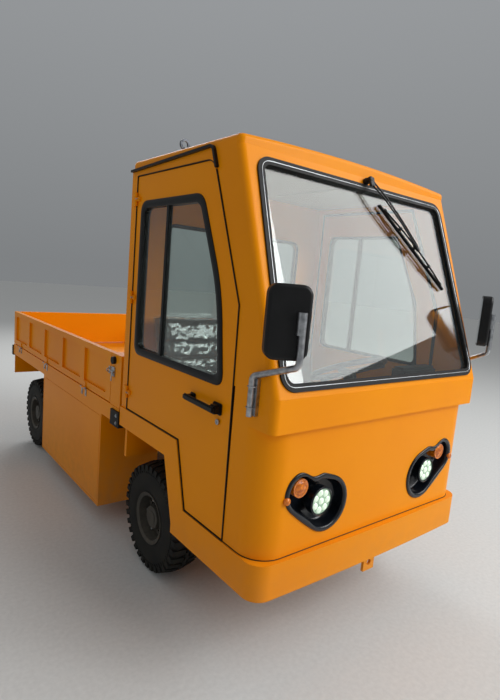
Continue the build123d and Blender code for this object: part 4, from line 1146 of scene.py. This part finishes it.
def makeLampFrames():
    s = rearLampSettings
    low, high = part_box("rear_lamps")
    half = s["width"] / 2
    mesh = bmesh.new()
    for side in (1, -1):
        x = side * (high.x - half)
        corners = [(x - half, low.z), (x + half, low.z), (x + half, high.z), (x - half, high.z)]
        loop = roundedLoop(corners, s["corner"])
        addTube(mesh, [(p.x, high.y - s["frameIn"], p.y) for p in loop], s["frameR"], 8, True)
        for step in s["ribX"]:
            spot = (x + step, high.y - 0.001, (low.z + high.z) / 2)
            addBar(mesh, spot, (s["rib"], s["rib"], high.z - low.z))
    makePiece("rearLampFrames", mesh, "truck", "plastic", 50)


# The painted shade where the front panel stands in the skirt: a thin black tube on the panel's face stands in
# for the shade in the joint
skirtShadeLineSettings = dict(corner=0.110, sideEnd=0.224, up=0.1385, out=0.0006, r=0.0019, steps=12)


def makeSkirtShadeLine():
    s = skirtShadeLineSettings
    corner = s["corner"]
    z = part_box("cab_skirt")[0].z + s["up"]
    half = [(doorFace, noseY + s["sideEnd"])]
    for k in range(s["steps"] + 1):
        angle = pi / 2 * k / s["steps"]
        half.append((doorFace - corner + corner * cos(angle), panelY + corner - corner * sin(angle)))
    path = [(x + s["out"], y, z) for x, y in half] + [(-x - s["out"], y, z) for x, y in half[::-1]]
    mesh = bmesh.new()
    addTube(mesh, path, s["r"], 8)
    # the black tube is a line of painted shade along the joint
    makePiece("skirtSeamShadeLine", mesh, "truck", "rubber", 60)


# A ribbed rubber mat over the footwell's plate
matSettings = dict(size=(1.12, 0.48, 0.006), y=0.325, ribs=24, rib=(1.06, 0.007, 0.003), ribFirst=0.105,
                   ribStep=0.019, ribUp=0.0065)


def makeFloorMat():
    s = matSettings
    mesh = bmesh.new()
    addBar(mesh, (0, noseY + s["y"], footwellZ + s["size"][2] / 2), s["size"], 0.002)
    for row in range(s["ribs"]):
        y = noseY + s["ribFirst"] + s["ribStep"] * row
        addBar(mesh, (0, y, footwellZ + s["ribUp"]), s["rib"], 0.001)
    makePiece("floorMat", mesh, "truck", "rubber", 40)


for name, side in bothSides:
    makeDoorFittings(name, side)
    makeWindowTrim(name, side)
    makeDoorHandle(name, side)
makeFloorMat()
makeSkirtShadeLine()
makeScrews()
makeCatches()
makeRearWindow()
makeRoofLining()
makeGauges()
makePedals()
makeMarkers()
makeLampFrames()
print("fittings done")

# Floor: pale concrete, floated smooth, with faint flecks 20 mm across
floorSettings = dict(size=60, fleck=0.02, dark="#CFD0CE", light="#DCDDDB", rough=0.7)
# Sky: a plain pale dome, brighter overhead
worldSettings = dict(strength=0.37, low="#C7CBCE", middle="#EEF2F6", high="#FFFFFF")


def makeFloor():
    s = floorSettings
    material, tree, place = newMaterial("paleStudioFloor")
    fleck = grain(tree, place, s["fleck"], 6).outputs["Fac"]
    base = ramp(tree, fleck, [(0.2, tone(s["dark"])), (0.8, tone(s["light"]))])
    normal = relief(tree, fleck, strength=0.05, distance=0.001)
    finishMaterial(material, tree, {"Roughness": s["rough"]}, {"Base Color": base, "Normal": normal})
    mesh = bmesh.new()
    half = s["size"] / 2
    for corner in ((-half, -half), (half, -half), (half, half), (-half, half)):
        mesh.verts.new((*corner, 0))
    mesh.faces.new(mesh.verts)
    data = bpy.data.meshes.new("studioFloor")
    mesh.to_mesh(data)
    mesh.free()
    data.materials.append(material)
    floor = bpy.data.objects.new("studioFloor", data)
    scene.collection.objects.link(floor)


def makeSky():
    s = worldSettings
    world = bpy.data.worlds.new("studioSky")
    world.use_nodes = True
    scene.world = world
    tree = world.node_tree
    tree.nodes.clear()
    place = addNode(tree, "ShaderNodeTexCoord").outputs["Generated"]
    height = addNode(tree, "ShaderNodeSeparateXYZ", links={"Vector": place}).outputs["Z"]
    sky = ramp(tree, height, [(0.0, tone(s["low"])), (0.5, tone(s["middle"])), (1.0, tone(s["high"]))])
    light = addNode(tree, "ShaderNodeBackground", {"Strength": s["strength"]}, {"Color": sky})
    addNode(tree, "ShaderNodeOutputWorld", links={"Surface": light.outputs[0]})


# Soft lamps: place, what each looks at, size and power
lampRows = (
    ("keyPanel", (2.4, -6.2, 4.4), (0, 0, 1), 3.6, 205),
    ("glarePanel", (5.3, -4.9, 5.42), (0, -1.5, 1.5), 5.0, 250),
    ("fillPanel", (-7.0, -1.0, 3.5), (0, 0, 0.8), 4.0, 22),
    ("rimPanel", (2.0, 6.0, 5.0), (0, 0, 1), 3.0, 160),
)


def makeLights():
    for name, spot, target, size, power in lampRows:
        data = bpy.data.lights.new(name, "AREA")
        data.size = size
        data.energy = power
        lamp = bpy.data.objects.new(name, data)
        scene.collection.objects.link(lamp)
        lamp.location = spot
        lamp.rotation_mode = "QUATERNION"
        lamp.rotation_quaternion = (Vector(target) - Vector(spot)).to_track_quat("-Z", "Y")


# The photograph's camera: distance from the nose, height, and its turn, tilt and roll
cameraSettings = dict(x=-1.700, ahead=1.160, z=1.474, turn=38.74, tilt=8.28, roll=4.94, lens=25.65)


def makeCamera():
    s = cameraSettings
    turn, tilt, roll = radians(s["turn"]), radians(s["tilt"]), radians(s["roll"])
    forward = Vector((sin(turn) * cos(tilt), cos(turn) * cos(tilt), -sin(tilt)))
    right = Vector((cos(turn), -sin(turn), 0))
    up = right.cross(forward)
    across = right * cos(roll) + up * sin(roll)
    over = up * cos(roll) - right * sin(roll)
    data = bpy.data.cameras.new("photoCamera")
    data.lens = s["lens"]
    data.sensor_width = 36
    data.clip_end = 200
    camera = bpy.data.objects.new("photoCamera", data)
    scene.collection.objects.link(camera)
    place = Matrix((across, over, -forward)).transposed().to_4x4()
    place.translation = Vector((s["x"], noseY - s["ahead"], s["z"]))
    camera.matrix_world = place
    scene.camera = camera


makeFloor()
makeSky()
makeLights()
makeCamera()
scene.view_settings.view_transform = "Standard"
print("stage done")
